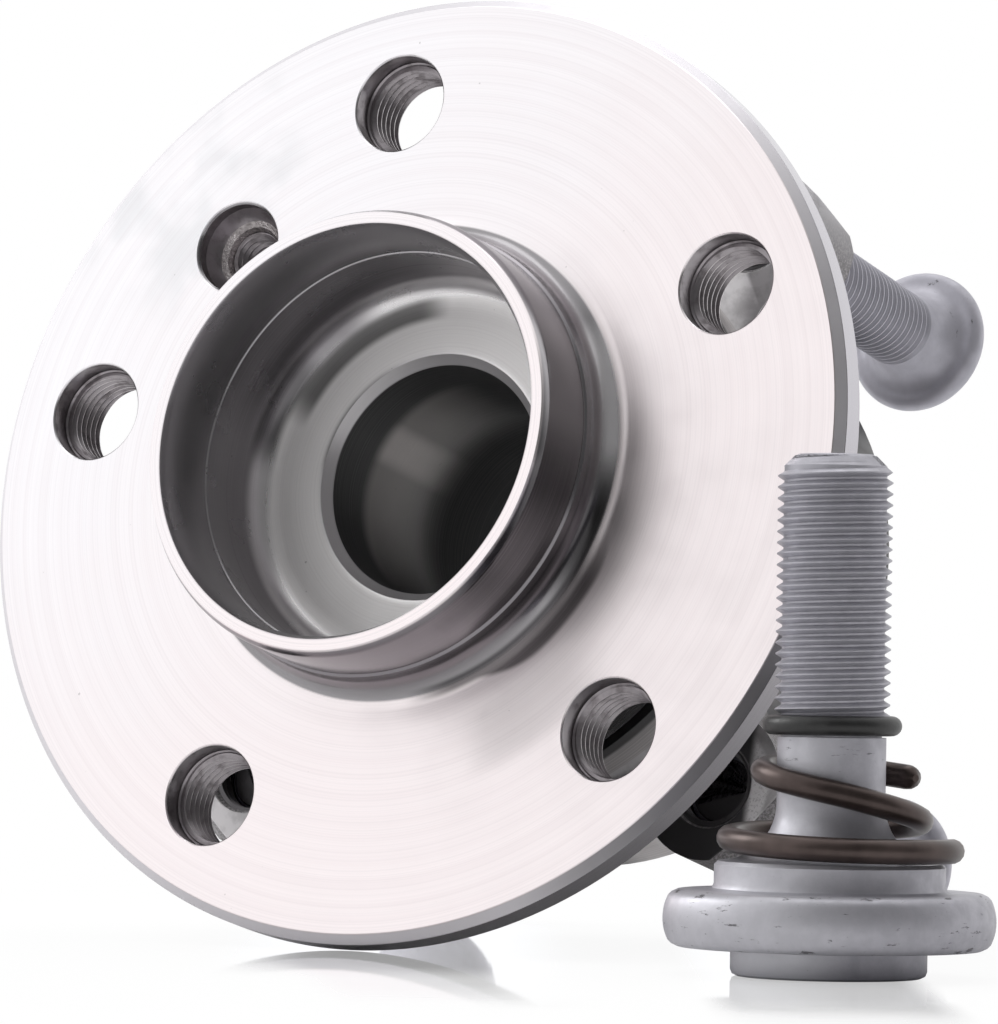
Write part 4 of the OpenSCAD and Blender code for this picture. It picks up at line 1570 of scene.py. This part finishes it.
@dataclass
class Studio:
    """White studio: floor, soft light from the left and above, and the camera.

    The floor mirrors a little under the hub and under the axle bolt. Those two patches lie
    between distances towards the camera and between distances to its right, in metres; the
    last number of each width is the softness of its edges.
    """

    floor_z: float
    camera_at: Triple = (0.442330, -0.719762, -0.028016)
    right: Triple = (0.860711, 0.508834, 0.016549)
    down: Triple = (0.001632, 0.029747, -0.999559)
    forward: Triple = (-0.509094, 0.860356, 0.024779)
    away: Triple = (0.5092, -0.8607, 0.0)
    hub_gloss: Point = (0.045, 0.105)
    hub_width: Triple = (-0.019, 0.02, 0.008)
    hub_share: float = 0.68
    bolt_gloss: Point = (0.12, 0.19)
    bolt_width: Triple = (0.0425, 0.0705, 0.003)
    bolt_share: float = 0.47
    lens: float = 204.65
    sensor: float = 36.0

    def floor(self) -> bpy.types.Object:
        """Makes the white floor, faintly glossy.

        Returns:
            The floor.
        """
        bm = bmesh.new()
        bmesh.ops.create_grid(bm, x_segments=2, y_segments=2, size=6.0)
        mesh = bpy.data.meshes.new("floor")
        bm.to_mesh(mesh)
        bm.free()
        mesh.transform(Matrix.Translation((0, 0, self.floor_z)))
        floor = add_object("floor", mesh)
        g = MaterialGraph("white_floor")
        camera, glossy, through = (g.ray(kind) for kind in ("Camera", "Glossy", "Transmission"))
        at = g.point()
        near = at.along(self.away)
        side = at.along((-self.away[1], self.away[0], 0.0))
        wash = g.noise(at.scaled((1.0, 1.0, 0.0)), 34.0, 3.0) * 0.03
        trail = side.span(-0.014, -0.002) * 0.06
        share = self.hub_share - near.span(0.045, 0.085) * 0.30
        under = near.span(-0.10, -0.06)
        hub = (near - trail + wash).span(*self.hub_gloss, 1.0, 0.0) * under
        hub = hub * side.within(*self.hub_width)
        bolt = (near + wash).span(*self.bolt_gloss, 1.0, 0.0) * under
        bolt = bolt * side.within(*self.bolt_width)
        white = g.node("ShaderNodeEmission", None, {"Color": (1.0, 1.0, 1.0), "Strength": 1.0})
        paper = g.node("ShaderNodeBsdfDiffuse", None, {"Color": (0.93, 0.93, 0.93)})
        mirror = g.node("ShaderNodeBsdfGlossy", None,
                        {"Color": (0.97, 0.975, 1.0), "Roughness": 0.04})
        close = near.within(-0.12, 0.16, 0.05) * side.within(-0.12, 0.12, 0.05)
        lit = g.node("ShaderNodeMixShader", None, {0: close * 0.07, 1: white, 2: paper})
        view = g.node("ShaderNodeMixShader", None,
                      {0: (hub * share).most(bolt * self.bolt_share) * camera, 1: lit, 2: mirror})
        both = g.node("ShaderNodeMixShader", None,
                      {0: camera.most(through).most(glossy * (1.0 - close)), 1: paper, 2: view})
        g.node("ShaderNodeOutputMaterial", None, {"Surface": both})
        mesh.materials.append(g.material)
        return floor

    def world(self) -> None:
        """Makes the surroundings: white backdrop, darker room on the camera's side."""
        world = bpy.data.worlds.new("studio")
        world.use_nodes = True
        bpy.context.scene.world = world
        g = Graph(world.node_tree)
        way = g.node("ShaderNodeTexCoord", output="Generated")
        room = way.along(Vector((0.80, -0.58, 0.15)).normalized()).span(0.28, 0.72)
        front = way.along((0.0, -1.0, 0.0)).span(0.1, 0.7)
        low = way.along((0.0, 0.0, 1.0)).span(0.10, -0.30)
        bright = (1.08 - room * 0.93) * (1.0 - front * low * 0.7)
        camera, through = (g.ray(kind) for kind in ("Camera", "Transmission"))
        seen = camera.most(through)
        level = bright * (1.0 - seen) + seen
        colour = g.vector(level, level, level)
        back = g.node("ShaderNodeBackground", None, {"Color": colour, "Strength": 1.0})
        g.node("ShaderNodeOutputWorld", None, {"Surface": back})

    def light(self, name: str, at: Sequence[float], towards: Sequence[float],
              size: float, power: float) -> None:
        """Hangs one soft box.

        Args:
            name: Its name.
            at: Where it hangs, in metres.
            towards: What it faces.
            size: Side of the square, in metres.
            power: Power in watts.
        """
        lamp = bpy.data.lights.new(name, "AREA")
        lamp.shape = "SQUARE"
        lamp.size = size
        lamp.energy = power
        box = add_object(name, lamp)
        box.location = at
        aim = Vector(towards) - Vector(at)
        box.rotation_euler = aim.to_track_quat("-Z", "Y").to_euler()

    def camera(self) -> None:
        """Sets up the camera at the photograph's viewing angle."""
        eye = bpy.data.cameras.new("camera")
        eye.lens = self.lens
        eye.sensor_fit = "AUTO"
        eye.sensor_width = self.sensor
        eye.clip_start = 0.01
        eye.clip_end = 50.0
        holder = add_object("camera", eye)
        axes = Matrix((self.right, [-c for c in self.down], [-c for c in self.forward]))
        holder.matrix_world = Matrix.Translation(self.camera_at) @ axes.transposed().to_4x4()
        bpy.context.scene.camera = holder

    def build(self) -> None:
        """Sets up everything round the part."""
        self.floor()
        self.world()
        self.light("key_left", (-1.0, -0.1, 0.55), (0.0, 0.0, 0.0), 0.5, 4.5)
        self.light("top", (-0.1, 0.3, 0.9), (0.05, 0.0, 0.0), 0.6, 1.5)
        self.camera()
        bpy.context.scene.view_settings.view_transform = "Standard"


def main() -> None:
    """Builds the studio and dresses every sub-assembly in order."""
    logging.basicConfig(level=logging.INFO, format="%(name)s: %(message)s")
    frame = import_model()
    mounts = {m["name"]: m for m in frame["record"]["mounts"]}
    outboard = Vector(mounts["wheel_centre"]["axis"])
    up = Vector((0.0, 0.0, 1.0))
    up = (up - outboard * up.dot(outboard)).normalized()
    hub_place = Place(Vector(mounts["wheel_centre"]["pos_m"]), up, outboard)
    low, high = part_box("axle_bolt")
    foot = Vector(((low[0] + high[0]) / 2, (low[1] + high[1]) / 2, low[2]))
    bolt_place = Place(foot, Vector((1, 0, 0)), Vector((0, 0, 1)))

    Studio(float(low[2])).build()
    pieces = HubFlange(hub_place).build()
    pieces += OuterRing(hub_place, frame["nodes"]["outer_ring"]).build()
    knuckle_steel = CoatedSteel(
        "knuckle_bolt_coating", hub_place, scuff_low=-92.0, scuff_high=-86.0, scuff_r=60.0,
        tip=-35.8, colour=(0.46, 0.452, 0.505), pale=(0.55, 0.54, 0.60)).build()
    pieces += [KnuckleBolt(hub_place, ear).build(knuckle_steel) for ear in Ear]
    axle_steel = CoatedSteel(
        "axle_bolt_coating", bolt_place, scuff_low=3.6, scuff_high=12.0, scuff_r=20.5,
        metal=0.6, rubbed=(26.5, 32.0), lit_high=34.0).build()
    loose = AxleBolt(bolt_place)
    pieces.append(loose.bolt(axle_steel))
    pieces.append(loose.o_ring(Rubber("o_ring_rubber", (0.012, 0.012, 0.012)).build()))
    pieces.append(loose.spring(SpringWire().build()))
    pieces += RunningGear(hub_place, frame["nodes"]).dress()
    for piece in pieces:
        LOG.info("%s: %d faces", piece.name, len(piece.data.polygons))


if __name__ == "__main__":
    main()
